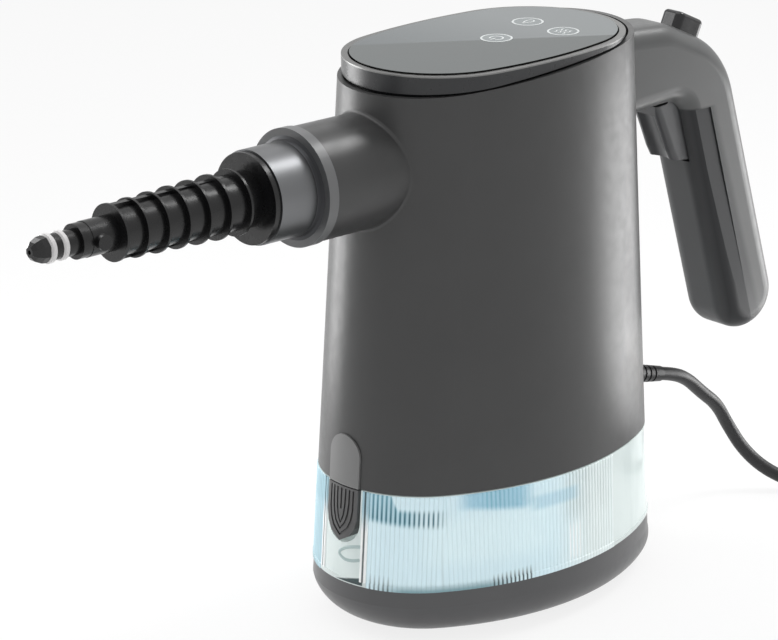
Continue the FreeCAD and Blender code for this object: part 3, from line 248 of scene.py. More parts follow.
lead = {
    "diameter": 0.0064,
    "length": 1.82,
    "route": [
        (0.1127, 0.0, 0.0711), (0.1218, 0.0, 0.0689), (0.1321, 0.0003, 0.0639),
        (0.1429, 0.0006, 0.0544), (0.1542, 0.0009, 0.0457), (0.1630, 0.0015, 0.0329),
        (0.1696, -0.0027, 0.0201), (0.1761, -0.0102, 0.0109), (0.1834, -0.0202, 0.0052),
        (0.1898, -0.0320, 0.0033), (0.1927, -0.0439, 0.0033), (0.1922, -0.0570, 0.0033),
    ],
    "middle": (0.2342, -0.0745),
    "outer": 0.0420,
    "inner": 0.0292,
    "last": 0.0356,
    "floor": 0.0033,
    "plugLevel": 0.03195,
    "steps": 18,
    "sweep": 2710.0,
    "plugHeading": 100.0,
    "tail": 0.006,
    "smoothness": 6,
    # degrees of winding where each way of going starts or ends
    "inwardTo": 720,
    "outwardFrom": 765,
    "outwardTo": 1485,
    "backTo": 2205,
    "lastFrom": 2250,
    "climbs": ((720, 810), (1440, 1530), (2205, 2295)),
    "plugClimb": (2590, 2710),
}


def ease(value, low, high):
    t = min(1.0, max(0.0, (value - low) / (high - low)))
    return t * t * (3 - 2 * t)


def coilPoints():
    # turns wound inward, outward and inward again, each layer a diameter above the last
    pitch, outer, inner = lead["diameter"], lead["outer"], lead["inner"]
    swell = 2.0 / (1 + math.cos(math.pi / lead["steps"]))
    step = 360.0 / lead["steps"]
    top = lead["floor"] + len(lead["climbs"]) * pitch
    points = []
    count = round((lead["sweep"] - step) / step)
    for i in range(count + 1):
        angle = step * 0.5 + i * (lead["sweep"] - step * 0.5) / count
        if angle <= lead["inwardTo"]:
            radius = outer - pitch * angle / 360.0
        elif angle <= lead["outwardTo"]:
            radius = inner + pitch * max(0.0, angle - lead["outwardFrom"]) / 360.0
        elif angle <= lead["backTo"]:
            radius = outer - pitch * (angle - lead["outwardTo"]) / 360.0
        else:
            radius = min(lead["last"], inner + pitch * max(0.0, angle - lead["lastFrom"]) / 360.0)
        height = lead["floor"] + pitch * sum(ease(angle, *climb) for climb in lead["climbs"])
        height += (lead["plugLevel"] - top) * ease(angle, *lead["plugClimb"])
        turned = math.pi + math.radians(angle)
        points.append((
            lead["middle"][0] + swell * radius * math.cos(turned),
            lead["middle"][1] + swell * radius * math.sin(turned),
            height,
        ))
    heading = math.radians(lead["plugHeading"])
    along = Vector((math.cos(heading), math.sin(heading), 0.0))
    outward = Vector((along.y, -along.x, 0.0))
    tail = Vector((*lead["middle"], lead["plugLevel"])) + lead["last"] * outward
    points[-1] = tuple(tail)
    points.append(tuple(tail + lead["tail"] * along))
    return points


def cordCurve():
    curve = bpy.data.curves.new("mainsLead", "CURVE")
    curve.dimensions = "3D"
    curve.bevel_depth = lead["diameter"] / 2
    curve.bevel_resolution = lead["smoothness"]
    curve.resolution_u = lead["smoothness"]
    curve.use_fill_caps = True
    points = lead["route"] + coilPoints()
    spline = curve.splines.new("NURBS")
    spline.points.add(len(points) - 1)
    for point, where in zip(spline.points, points):
        point.co = (*where, 1.0)
    spline.order_u = 3
    spline.use_endpoint_u = True
    return curve


cordJacket = moulded("cordJacket", (0.010, 0.010, 0.011), 0.42, grain=3200.0)
mainsLead = place("mainsLead", cordCurve(), "housing", cordJacket,
                  ("power_cord", "cord_coil"))
print("stage: lead made")


plastics = {
    # name: colour, roughness, nodes, further sockets
    "housingPlastic": ((0.046, 0.0462, 0.0465), 0.34, ("body_shell",), {}),
    "capPlastic": ((0.020, 0.021, 0.023), 0.30, ("top_cap",), {}),
    "basePlastic": ((0.095, 0.095, 0.098), 0.34, ("base_shell",), {}),
    "innerPlastic": ((0.16, 0.16, 0.165), 0.5,
                     ("chassis_deck", "pump", "micro_switch", "suction_filter"), {}),
    "lidPlastic": ((0.50, 0.62, 0.66), 0.4, ("tank_lid",), {}),
    "glossBlack": ((0.0045, 0.0045, 0.005), 0.26,
                   ("nozzle_barrel", "nozzle_tip"), {"Specular_IOR_Level": 0.45}),
    "softBlack": ((0.012, 0.012, 0.012), 0.6,
                  ("foot_ring", "pump_mounts", "fill_plug", "spigot_seal"), {}),
    "hoseSilicone": ((0.62, 0.62, 0.58), 0.35, ("suction_hose", "feed_hose"), {}),
    "ringWhite": ((0.74, 0.73, 0.73), 0.38, ("o_ring_rear", "o_ring_front"), {}),
    "boardGreen": ((0.02, 0.16, 0.06), 0.4, ("control_board",), {}),
    "latchPlastic": ((0.19, 0.19, 0.19), 0.40, ("latch_cover",), {}),
    "buttonPlastic": ((0.085, 0.085, 0.086), 0.34, ("release_button",), {}),
    "sliderPlastic": ((0.008, 0.008, 0.009), 0.18, ("lock_slider",), {}),
    "triggerPlastic": ((0.075, 0.076, 0.080), 0.34, ("trigger",), {}),
}
for name, (color, rough, parts, more) in plastics.items():
    dress(moulded(name, color, rough, **more), *parts)

metals = {
    # name: colour, roughness, streak direction, nodes
    "castAluminium": ((0.66, 0.66, 0.67), 0.45, (1, 1, 1), ("boiler",)),
    "platedSteel": ((0.6, 0.59, 0.57), 0.34, (1, 1, 8),
                    ("boiler_bracket", "thermostats",
                     "bracket_screws", "board_screws", "grip_screw")),
    "springSteel": ((0.62, 0.62, 0.62), 0.25, (1, 1, 1),
                    ("latch_spring", "trigger_spring", "trigger_pin")),
    "brassTurned": ((0.78, 0.60, 0.28), 0.26, (12, 1, 1), ("steam_pipe", "plug_blades")),
    "rimSilver": ((0.21, 0.21, 0.207), 0.34, (1, 1, 6), ("glass_rim",)),
}
for name, (color, rough, stretch, parts) in metals.items():
    dress(metal(name, color, rough, stretch), *parts)

springs = {
    # name: node, joint that presses it, its fixed end, share of its length left
    "latchCoil": ("latch_spring", "latch_press", (-0.07265, 0.0, 0.0746), 0.74),
    "triggerCoil": ("trigger_spring", "trigger_pull", (0.13795, 0.0, 0.1840), 0.68),
}
steel = bpy.data.materials["springSteel"]
for name, (node, joint, fixedEnd, keep) in springs.items():
    mesh = nodes[node].data.copy()
    mesh.materials.clear()
    coil = place(name, mesh, "housing", steel, (node,))
    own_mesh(coil)

dress(cordJacket, "wire_harness", "strain_relief", "plug_body")
tie = moulded("tieWeave", (0.02, 0.02, 0.022), 0.9, grain=1400.0, depth=0.0002, strength=0.8)
dress(tie, "cord_tie")

touchGlass = {
    # painted reflection: near, left and far tones of the glass, parted by a slanting line
    "near": (0.060, 0.072, 0.072),
    "left": (0.070, 0.085, 0.092),
    "far": (0.170, 0.188, 0.192),
    "edge": (0.002, 0.002, 0.002),
    "slant": 0.717,
    "line": -0.0035,
    "soft": 0.0012,
    # where the far tone of the painted reflection grows lighter along the glass, and how far a
    # face has to lean to be edge, painted black as shade of the gap round the glass
    "paling": (-0.060, 0.030),
    "leaning": (0.8, 0.5),
    "blotch": 18.0,
    "rough": (0.05, 0.09),
}


def glassPaintedLight():
    # painted reflection in two tones, parted by a slanting line, and painted shade of the gap
    # round the glass on its black edge faces
    s = Finish("glassPaintedLight")
    x, y = s.axes()[:2]
    across = s.math("ADD", y, s.times(x, touchGlass["slant"]))
    line, soft = touchGlass["line"], touchGlass["soft"]
    far = s.mix(s.span(x, *touchGlass["paling"]), touchGlass["left"], touchGlass["far"])
    tint = s.mix(s.span(across, line - soft, line + soft, smooth=True), touchGlass["near"], far)
    gapShaded = s.mix(s.span(s.facing()[2], *touchGlass["leaning"]), tint, touchGlass["edge"])
    roughness = s.span(s.noise(touchGlass["blotch"]), *surface["range"], *touchGlass["rough"])
    return s.done(s.principled(Base_Color=gapShaded, Roughness=roughness, IOR=1.5))


handle = {
    "light": (0.088, 0.090, 0.090),
    "dark": (0.026, 0.027, 0.029),
    # the seam's place at a height, its lean, its soft edge, and where the dark painted shade ends
    # above
    "seam": 0.1276,
    "level": 0.200,
    "lean": 0.342,
    "soft": 0.0030,
    "top": (0.2010, 0.2000),
    "rough": (0.30, 0.38),
}


def handlePaintedShade():
    # one moulding, with painted shade darker in front of the seam with the grip cover
    s = Finish("handlePaintedShade")
    x, _, z = s.axes()
    fall = s.math("SUBTRACT", handle["level"], z)
    seam = s.math("MULTIPLY_ADD", fall, handle["lean"], handle["seam"])
    margin = (-handle["soft"], handle["soft"] / 2)
    ahead = s.span(s.math("SUBTRACT", seam, x), *margin, smooth=True)
    below = s.span(z, *handle["top"])
    tint = s.mix(s.times(ahead, below), handle["light"], handle["dark"])
    return satin(s, tint, handle["rough"])


gripCover = {
    # painted tones of its flat sides and its front, and how far a face turns to be front
    "side": (0.030, 0.031, 0.033),
    "front": (0.066, 0.067, 0.069),
    "turning": (-0.55, -0.85),
    "rough": (0.34, 0.42),
    "specular": 0.22,
}


def gripPaintedLight():
    # painted light and shade by which way a face turns: dull on the flat sides, paler on the
    # front where the fingers wrap round
    s = Finish("gripPaintedLight")
    turned = s.span(s.facing()[0], *gripCover["turning"])
    tint = s.mix(turned, gripCover["side"], gripCover["front"])
    return satin(s, tint, gripCover["rough"], Specular_IOR_Level=gripCover["specular"])


nozzleRing = {
    # painted tones of its outside and of its face toward the nozzle, and how far a face turns to
    # be that one
    "round": (0.150, 0.152, 0.155),
    "face": (0.075, 0.077, 0.080),
    "turning": (0.5, 0.9),
    "rough": (0.30, 0.40),
    "grain": 0.15,
}


def ringPaintedLight():
    # painted light and shade: darker face toward the nozzle, paler round the outside
    s = Finish("ringPaintedLight")
    endOn = s.span(s.math("ABSOLUTE", s.facing()[0]), *nozzleRing["turning"])
    tint = s.mix(endOn, nozzleRing["round"], nozzleRing["face"])
    return satin(s, tint, nozzleRing["rough"], strength=nozzleRing["grain"])


collar = {
    # two tints of its streaks, and painted shade for the cove at its foot
    "dull": (0.165, 0.168, 0.173),
    "bright": (0.200, 0.204, 0.210),
    "coveShade": (0.045, 0.046, 0.049),
    "coveFrom": (-0.1150, -0.1135),
    "rough": (0.30, 0.44),
    "grain": 0.12,
}


def collarMetal():
    # satin metal, with painted shade in the cove
    s = Finish("collarMetal")
    streaks = s.noise(surface["streak"], 3.0, 0.6, (10, 1, 1))
    inCoveShade = s.span(s.axes()[0], *collar["coveFrom"], smooth=True)
    tint = s.mix(inCoveShade, s.mix(streaks, collar["dull"], collar["bright"]), collar["coveShade"])
    return brushed(s, tint, streaks, collar["rough"], collar["grain"])


dress(glassPaintedLight(), "touch_glass")
dress(handlePaintedShade(), "handle_back")
dress(gripPaintedLight(), "grip_front")
dress(ringPaintedLight(), "nozzle_ring")
dress(collarMetal(), "nozzle_collar")

oval = {
    # the column's half axes at the floor, their change per metre, and the fullness of its ends
    "length": 0.0874,
    "lengthTaper": 0.0621,
    "width": 0.0578,
    "widthTaper": 0.049,
    "fullness": 1.2,
    "fullnessRise": 0.8,
    "tankMiddle": 0.052,
}


def ovalArcs(height):
    # middle of the end arc, its radius, the side arc's radius and drop, and where they meet
    length = oval["length"] - oval["lengthTaper"] * height
    width = oval["width"] - oval["widthTaper"] * height
    end = (oval["fullness"] + oval["fullnessRise"] * height) * width * width / length
    side = (width * width + (length - end) ** 2 - end * end) / (2 * (width - end))
    return length - end, end, side, side - width, math.atan2(side - width, length - end)


def onOval(turn, height, out, hand):
    # point on the column where its normal has turned this far from the front
    middle, end, side, drop, meet = ovalArcs(height)
    nx, ny = -math.cos(turn), math.sin(turn)
    if turn < meet:
        x, y = -middle + (end + out) * nx, (end + out) * ny
    elif turn <= math.pi - meet:
        x, y = (side + out) * nx, (side + out) * ny - drop
    else:
        x, y = middle + (end + out) * nx, (end + out) * ny
    return Vector((x, hand * y, height))


def turnAt(distance, height=oval["tankMiddle"]):
    # normal angle at a distance round the column from its front
    _, end, side, _, meet = ovalArcs(height)
    if distance < end * meet:
        return distance / end
    if distance < end * meet + side * (math.pi - 2 * meet):
        return meet + (distance - end * meet) / side
    return math.pi - meet + (distance - end * meet - side * (math.pi - 2 * meet)) / end


def skinMesh(name, hands, turns, heights, outs, inner, marks):
    # closed skins that follow the column; outs and inner say how far the two faces stand out,
    # outs by row and column and inner by row
    points, faces = [], []
    fields = {key: [] for key in marks}
    rows, columns = len(heights), len(turns)
    for hand in hands:
        first = len(points)
        for layer in (0, 1):
            for j, height in enumerate(heights):
                for i, turn in enumerate(turns):
                    out = inner[j] if layer else outs[j][i]
                    points.append(onOval(turn, height, out, hand))
                    for key, entries in marks.items():
                        fields[key].append(entries[i])
        back = rows * columns

        def quad(a, b, c, d):
            corners = [first + k for k in (a, b, c, d)]
            faces.append(corners if hand < 0 else corners[::-1])

        for j in range(rows - 1):
            for i in range(columns - 1):
                a = j * columns + i
                quad(a, a + 1, a + 1 + columns, a + columns)
                quad(back + a, back + a + columns, back + a + 1 + columns, back + a + 1)
        for i in range(columns - 1):
            top = (rows - 1) * columns + i
            quad(i + 1, i, back + i, back + i + 1)
            quad(top, top + 1, back + top + 1, back + top)
        for j in range(rows - 1):
            a, b = j * columns, j * columns + columns - 1
            quad(a, a + columns, back + a + columns, back + a)
            quad(b + columns, b, back + b, back + b + columns)
    mesh = meshFrom(name, points, faces)
    for key, entries in fields.items():
        mesh.attributes.new(key, "FLOAT", "POINT").data.foreach_set("value", entries)
    return mesh


flutes = {
    "pitch": 0.00204,
    "start": 0.01466,
    "count": 62,
    "columns": 8,
    "rise": 0.00028,
    "skin": 0.00004,
    "heights": (0.0238, 0.0259, 0.0264, 0.0400, 0.0540, 0.0661, 0.0668),
    "inner": (0.00037, 0.00037, 0.00003, 0.00003, 0.00003, 0.00003, 0.00003),
    "reach": (0.35, 0.6, 1.0, 1.0, 1.0, 1.0, 0.0),
    "roundness": 0.8,
    # looks, in metres round the column from its front: from, to and soft edge
    "around": {
        "sky": (0.0570, 0.0875, 0.005),
        "skyLine": (0.0650, 0.0900, 0.003),
        "veil": (0.0900, 0.1150, 0.004),
        "glow": (0.040, 0.100, 0.012),
        "fineRight": (0.108, 0.1405, 0.003),
        "streak": (0.1095, 0.1175, 0.0006),
        "footA": (0.0150, 0.0265, 0.001),
        "footB": (0.0690, 0.0890, 0.0015),
        "footC": (0.0900, 0.1060, 0.002),
        "seam": (0.024, 0.074, 0.010),
        # ramps: from and to, then the values there where they aren't 0 and 1
        "pale": (0.095, 0.128),
        "lidTop": (0.0225, 0.0285, 0.0690, 0.0599),
        "lidLow": (0.0160, 0.0480, 0.0532, 0.0512),
        "lineEnd": (0.0500, 0.0440),
        "fillEnd": (0.0400, 0.0300),
        "skyFoot": (0.060, 0.085, 0.0600, 0.0568),
        "calm": (0.055, 0.075, 1.0, 0.35),
        "footSlope": (0.068, 0.090, 0.0290, 0.0305),
    },
    # heights in metres: from, to and soft edge
    "levels": {
        "veil": (0.0545, 0.0605, 0.0015),
        "glow": (0.036, 0.0565, 0.005),
        "streak": (0.027, 0.043, 0.003),
        # ramps
        "teal": (0.066, 0.057, 0.5, 0.95),
        "fineRight": (0.0420, 0.0500),
        "footA": (0.0310, 0.0240),
        "footC": (0.0350, 0.0240),
        "seam": (0.0280, 0.0238),
        # ramps over the height above a sloping line
        "overLow": (0.0, 0.0035),
        "underTop": (0.0020, -0.0010),
        "overSky": (-0.0015, 0.0020),
        "underFoot": (0.0, -0.0040),
    },
    # ramps over Y, which tell the near side from the far one
    "across": {
        "near": (0.0, -0.005, 0.2, 1.0),
        "farLine": (-0.004, 0.004),
        "farShade": (-0.002, 0.010, 0.0, 0.55),
    },
    "strength": {
        "sky": 0.85,
        "skyLine": 0.9,
        "veil": 0.45,
        "glow": 0.45,
        "fineRight": 0.5,
        "streak": 0.9,
        "footA": 0.75,
        "footB": 0.95,
        "footC": 0.7,
        "seam": 0.9,
    },
    # noise scales per metre, then ramps over a flute's depth or over the noise
    "texture": {
        "unevenScale": 60.0,
        "patchyScale": 26.0,
        "thin": (0.45, 0.85),
        "wide": (0.1, 0.7),
        "fill": (0.0, 0.5, 0.40, 0.90),
        "fine": (0.0, 1.0, 0.08, 0.34),
        "farLine": (0.0, 1.0, 0.40, 0.60),
        "uneven": (0.35, 0.65),
        "patchy": (0.4, 0.62),
    },
}


def fluteMesh():
    steps = [i / flutes["columns"] for i in range(flutes["count"] * flutes["columns"] + 1)]
    around = [flutes["start"] + k * flutes["pitch"] for k in steps]
    crest = [abs(math.sin(math.pi * k)) ** flutes["roundness"] for k in steps]
    outs = [[inner + flutes["skin"] + flutes["rise"] * c * reach for c in crest]
            for inner, reach in zip(flutes["inner"], flutes["reach"])]
    turns = [turnAt(distance) for distance in around]
    marks = {"valley": [1.0 - c for c in crest], "around": around}
    return skinMesh("tankFlutes", (-1, 1), turns, flutes["heights"], outs, flutes["inner"], marks)


tankTones = {
    "milk": (0.76, 0.905, 0.955),
    "pale": (0.80, 0.865, 0.865),
    "white": (0.97, 0.985, 0.985),
    "glow": (0.87, 0.985, 1.0),
    "teal": (0.060, 0.185, 0.235),
    "haze": (0.27, 0.54, 0.65),
    "sky": (0.37, 0.63, 0.76),
    "grey": (0.40, 0.47, 0.47),
    "dark": (0.035, 0.06, 0.065),
    "seam": (0.20, 0.36, 0.40),
}


def fluteSkin():
    # painted refraction: besides the milky tints, these tones stand in for what shows through the
    # clear fluted wall
    s = Finish("fluteSkin")
    tones = tankTones
    spans, levels, across = flutes["around"], flutes["levels"], flutes["across"]
    strength, texture = flutes["strength"], flutes["texture"]
    around, valley = s.attribute("around"), s.attribute("valley")
    y, z = s.axes()[1:]

    def patch(key, *others):
        # one mark: its stretch round the column, its other limits and its strength
        return s.times(s.window(around, *spans[key]), *others, strength[key])

    def past(line, key):
        # how far above a sloping line
        return s.span(s.math("SUBTRACT", z, line), *levels[key], smooth=True)

    near = s.span(y, *across["near"])
    thin = s.span(valley, *texture["thin"])
    wide = s.span(valley, *texture["wide"])
    unevenNoise = s.noise(texture["unevenScale"], 3.0, stretch=(1, 1, 0.12))
    uneven = s.span(unevenNoise, *texture["uneven"])
    patchyNoise = s.noise(texture["patchyScale"], stretch=(1, 1, 0.5))
    patchy = s.span(patchyNoise, *texture["patchy"])
    # pale toward the grip, milky blue elsewhere
    base = s.mix(s.span(around, *spans["pale"], smooth=True), tones["milk"], tones["pale"])
    # lid edge seen through the wall: solid at the front, then short lines
    top = s.span(around, *spans["lidTop"], smooth=True)
    low = s.span(around, *spans["lidLow"])
    band = s.times(past(low, "overLow"), past(top, "underTop"))
    fillEnd = s.span(around, *spans["fillEnd"], smooth=True)
    hazeFill = s.times(band, fillEnd, s.span(valley, *texture["fill"]), near)
    lineEnd = s.span(around, *spans["lineEnd"])
    tealLine = s.times(band, lineEnd, wide, s.span(z, *levels["teal"]), near)
    # painted refraction: a light blue patch under the housing; below it a paler patch, painted
    # light
    aboveFoot = past(s.span(around, *spans["skyFoot"]), "overSky")
    sky = patch("sky", aboveFoot, near)
    skyLine = patch("skyLine", aboveFoot, wide, uneven, near)
    veil = patch("veil", s.window(z, *levels["veil"]), near)
    glow = patch("glow", s.window(z, *levels["glow"]), near)
    # painted shade: fine lines in the flute valleys on the grip side and through the middle; the
    # white streak is a painted highlight
    fineRight = patch("fineRight", s.span(z, *levels["fineRight"]), wide, uneven)
    streak = patch("streak", s.window(z, *levels["streak"]), wide, near)
    calm = s.span(around, *spans["calm"], smooth=True)
    fine = s.times(thin, s.span(uneven, *texture["fine"]), calm)
    # painted shade: plain lines in the flute valleys, and a deeper tone on the far side
    farLine = s.times(wide, s.span(y, *across["farLine"]), s.span(uneven, *texture["farLine"]))
    farShade = s.span(y, *across["farShade"], smooth=True)
    # dark base mirrored along the foot
    footA = patch("footA", s.span(z, *levels["footA"]), wide, near)
    slope = s.span(around, *spans["footSlope"])
    drop = s.span(s.math("SUBTRACT", z, slope), *levels["underFoot"])
    footB = patch("footB", drop, wide, near)
    footC = patch("footC", s.span(z, *levels["footC"]), wide, patchy, near)
    # painted shadow along the seam with the base
    seam = patch("seam", s.span(z, *levels["seam"], smooth=True))
    tone = s.layers(
        base, (farShade, tones["haze"]), (glow, tones["glow"]), (fine, tones["grey"]),
        (farLine, tones["grey"]), (fineRight, tones["grey"]), (streak, tones["white"]),
        (veil, tones["sky"]), (sky, tones["sky"]), (skyLine, tones["haze"]),
        (hazeFill, tones["haze"]), (tealLine, tones["teal"]), (seam, tones["seam"]),
        (footC, tones["dark"]), (footA, tones["dark"]), (footB, tones["dark"]),
    )
    # the emission is a painted glow that lights the wall from within
    return s.done(s.principled(Base_Color=tone, Roughness=0.16, Transmission_Weight=0.22,
                               IOR=1.35, Emission_Color=tone, Emission_Strength=0.16))


place("tankFlutes", fluteMesh(), "tank", fluteSkin())

windowFrame = {
    "from": 0.01118,
    "to": 0.01450,
    "rise": (0.0002, 0.00055, 0.00055, 0.00012, 0.00012, 0.00050, 0.00050, 0.0002),
    "at": (0.0, 0.08, 0.34, 0.42, 0.58, 0.66, 0.92, 1.0),
    "heights": (0.0258, 0.0264, 0.0450, 0.0664, 0.0669),
    "groove": (3, 4),
    "inner": 0.00003,
    # looks: depth of the groove's painted shade, heights of the blue part, and how strong each is
    "depth": (0.1, 0.6),
    "blue": (0.048, 0.060),
    "blueAmount": 0.75,
    "darkAmount": 0.85,
    "cloud": 90.0,
    "rough": (0.08, 0.2),
}


def barMesh():
    # two ribs with a groove between them beside the front window; its dark is painted shade
    reach = windowFrame["to"] - windowFrame["from"]
    around = [windowFrame["from"] + k * reach for k in windowFrame["at"]]
    turns = [turnAt(distance) for distance in around]
    heights = windowFrame["heights"]
    outs = [windowFrame["rise"]] * len(heights)
    depth = [float(i in windowFrame["groove"]) for i in range(len(around))]
    marks = {"valley": depth, "around": around}
    inner = [windowFrame["inner"]] * len(heights)
    return skinMesh("windowBars", (-1, 1), turns, heights, outs, inner, marks)


def barPlastic():
    s = Finish("barPlastic")
    # painted shade in the groove, and a blue band higher up
    groove = s.span(s.attribute("valley"), *windowFrame["depth"])
    blue = s.span(s.axes()[2], *windowFrame["blue"], smooth=True)
    tone = s.layers(
        tankTones["white"],
        (s.times(blue, windowFrame["blueAmount"]), tankTones["haze"]),
        (s.times(groove, windowFrame["darkAmount"]), tankTones["dark"]),
    )
    cloud = s.noise(windowFrame["cloud"])
    roughness = s.span(cloud, *surface["range"], *windowFrame["rough"])
    # the emission is a painted glow
    return s.done(s.principled(Base_Color=tone, Roughness=roughness, Transmission_Weight=0.2,
                               IOR=1.4, Emission_Color=tone, Emission_Strength=0.12))


place("windowBars", barMesh(), "tank", barPlastic())

windowMark = {
    # sideways place and height of an embossed hook in the window
    "path": [(-0.0113, 0.0416), (-0.0066, 0.0405), (-0.0026, 0.0391), (0.0004, 0.0370),
             (0.0003, 0.0352), (-0.0029, 0.0340), (-0.0069, 0.0343), (-0.0110, 0.0355)],
    "half": 0.00075,
    "rise": 0.00035,
    "foot": 0.00003,
    "steps": 6,
}


def onFront(y, height, out):
    middle, end = ovalArcs(height)[:2]
    turn = math.asin(max(-1.0, min(1.0, y / end)))
    return Vector((-middle - (end + out) * math.cos(turn), (end + out) * math.sin(turn), height))


def smoothPath(path, steps):
    # a smooth run of points through the ones given
    fine = []
    for i in range(len(path) - 1):
        here, then = path[i], path[i + 1]
        before, after = path[max(0, i - 1)], path[min(len(path) - 1, i + 2)]
        for k in range(steps):
            t = k / steps
            fine.append(0.5 * (2 * here + (then - before) * t
                        + (2 * before - 5 * here + 4 * then - after) * t * t
                        + (3 * here - before - 3 * then + after) * t ** 3))
    return fine + [path[-1]]


def markMesh():
    half, rise, foot = windowMark["half"], windowMark["rise"], windowMark["foot"]
    fine = smoothPath([Vector(p) for p in windowMark["path"]], windowMark["steps"])
    profile = ((-1.0, foot), (-0.5, rise), (0.5, rise), (1.0, foot))
    points, faces = [], []
    for i, spot in enumerate(fine):
        along = (fine[min(len(fine) - 1, i + 1)] - fine[max(0, i - 1)]).normalized()
        side = Vector((-along.y, along.x))
        for across, out in profile:
            where = spot + side * across * half
            points.append(onFront(where.x, where.y, out))
    n = len(profile)
    for i in range(len(fine) - 1):
        for k in range(n):
            a, b = i * n + k, i * n + (k + 1) % n
            faces.append((a, b, b + n, a + n))
    faces.append(tuple(range(n - 1, -1, -1)))
    faces.append(tuple(len(points) - n + k for k in range(n)))
    return meshFrom("windowMark", points, faces)


clearWall = {
    # the dark base seen through the foot of the front window: its sloping top and its limits
    "wedge": (0.0030, -0.0125, 0.0240, 0.0276),
    "under": (0.0003, -0.0003),
    "front": (-0.079, -0.0795),
    "sides": (0.0132, 0.0128),
    "over": (0.0241, 0.0244),
    "amount": 0.95,
    # faint streaks, the deeper tone of painted shade on the far side toward the grip, and the
    # strength of a painted glow
    "streakScale": 70.0,
    "streak": (0.52, 0.72),
    "streakAmount": 0.25,
    "farAcross": (0.0, 0.012, 0.0, 0.5),
    "farAlong": (0.0, 0.020),
    "glow": 0.16,
}


def clearPlastic(name, tone, milk):
    s = Finish(name)
    x, y, z = s.axes()
    wedge = s.span(y, *clearWall["wedge"])
    under = s.span(s.math("SUBTRACT", z, wedge), *clearWall["under"])
    front = s.span(x, *clearWall["front"])
    sides = s.span(s.math("ABSOLUTE", y), *clearWall["sides"])
    shade = s.times(under, front, sides, s.span(z, *clearWall["over"]), clearWall["amount"])
    streaks = s.noise(clearWall["streakScale"], 3.0, stretch=(1, 1, 0.2))
    streak = s.times(s.span(streaks, *clearWall["streak"]), clearWall["streakAmount"])
    # painted shade on the far side toward the grip
    far = s.times(s.span(y, *clearWall["farAcross"], smooth=True),
                  s.span(x, *clearWall["farAlong"]))
    color = s.layers(tone, (far, tankTones["haze"]), (streak, tankTones["grey"]),
                     (shade, tankTones["dark"]))
    # the emission is a painted glow, stronger where the plastic is milkier
    return s.done(s.principled(Base_Color=color, Roughness=0.1, Transmission_Weight=1.0 - milk,
                               IOR=1.3, Emission_Color=color,
                               Emission_Strength=clearWall["glow"] * milk))


dress(clearPlastic("tankPlastic", (0.80, 0.87, 0.86), 0.75), "water_tank")
dress(clearPlastic("spigotPlastic", (0.80, 0.90, 0.92), 0.4), "tank_spigot")
# painted shade: the embossed hook takes a darker tone than the wall, standing in for its dark
# outline
markShadedPlastic = clearPlastic("markShadedPlastic", (0.45, 0.55, 0.55), 0.8)
place("windowMark", markMesh(), "tank", markShadedPlastic)
print("stage: tank dressed")

touchMarks = {
    "level": 0.250,
    "slope": 0.016,
    "middle": -0.00185,
    "radius": 0.00655,
    "line": 0.0009,
    "fine": 0.0007,
    "drops": (0.0320, 0.0085),
    "steam": (0.0312, -0.0142),
    "power": (0.0027, -0.0024),
    # lifts above the glass of strokes and pads, and how far a pad stays inside its ring
    "strokeLifts": (0.00001, 0.00006),
    "padLifts": (0.000005, 0.00002),
    "padInset": 0.0004,
    # power symbol: radius, arc in degrees, and its bar from and to
    "powerRadius": 0.0029,
    "powerArc": (215.0, 505.0),
    "powerBar": (0.0038, 0.0006),
    # steam: sideways shifts, half length, swing, points and points per half wave
    "waveShifts": (-0.0024, 0.0, 0.0024),
    "waveHalf": 0.0032,
    "waveSwing": 0.0006,
    "waveSteps": 16,
    "wavePeriod": 4,
    # drop: half length, half width, points and pinch of the tip
    "dropHalf": 0.0034,
    "dropWide": 0.0024,
    "dropSteps": 24,
    "dropPinch": 1.5,
}


def onGlass(x, y, lift):
    rise = touchMarks["slope"] * (x - touchMarks["middle"])
    return Vector((x, y, touchMarks["level"] + rise + lift))


def strokes(name, lines, low, high):
    # flat raised strokes on the glass; each line is its points, its width and whether it closes
    points, faces = [], []
    for path, width, closed in lines:
        first, count = len(points), len(path)
        for i, spot in enumerate(path):
            ahead = path[(i + 1) % count] if closed or i + 1 < count else spot
            behind = path[i - 1] if closed or i else spot
            along = (Vector(ahead) - Vector(behind)).normalized()
            side = Vector((-along.y, along.x)) * width / 2
            for sign, lift in ((-1, low), (1, low), (1, high), (-1, high)):
                points.append(onGlass(spot[0] + sign * side.x, spot[1] + sign * side.y, lift))
        for i in range(count if closed else count - 1):
            a, b = first + 4 * i, first + 4 * ((i + 1) % count)
            for k in range(4):
                faces.append((a + k, a + (k + 1) % 4, b + (k + 1) % 4, b + k))
        if not closed:
            faces.append((first, first + 1, first + 2, first + 3))
            last = first + 4 * count - 4
            faces.append((last + 3, last + 2, last + 1, last))
    return meshFrom(name, points, faces)


def ringPath(middle, radius, start=0.0, end=360.0, steps=48):
    closed = end - start >= 360.0
    count = steps if closed else steps + 1
    angles = [math.radians(start + (end - start) * i / steps) for i in range(count)]
    return [(middle[0] + radius * math.cos(a), middle[1] + radius * math.sin(a)) for a in angles]


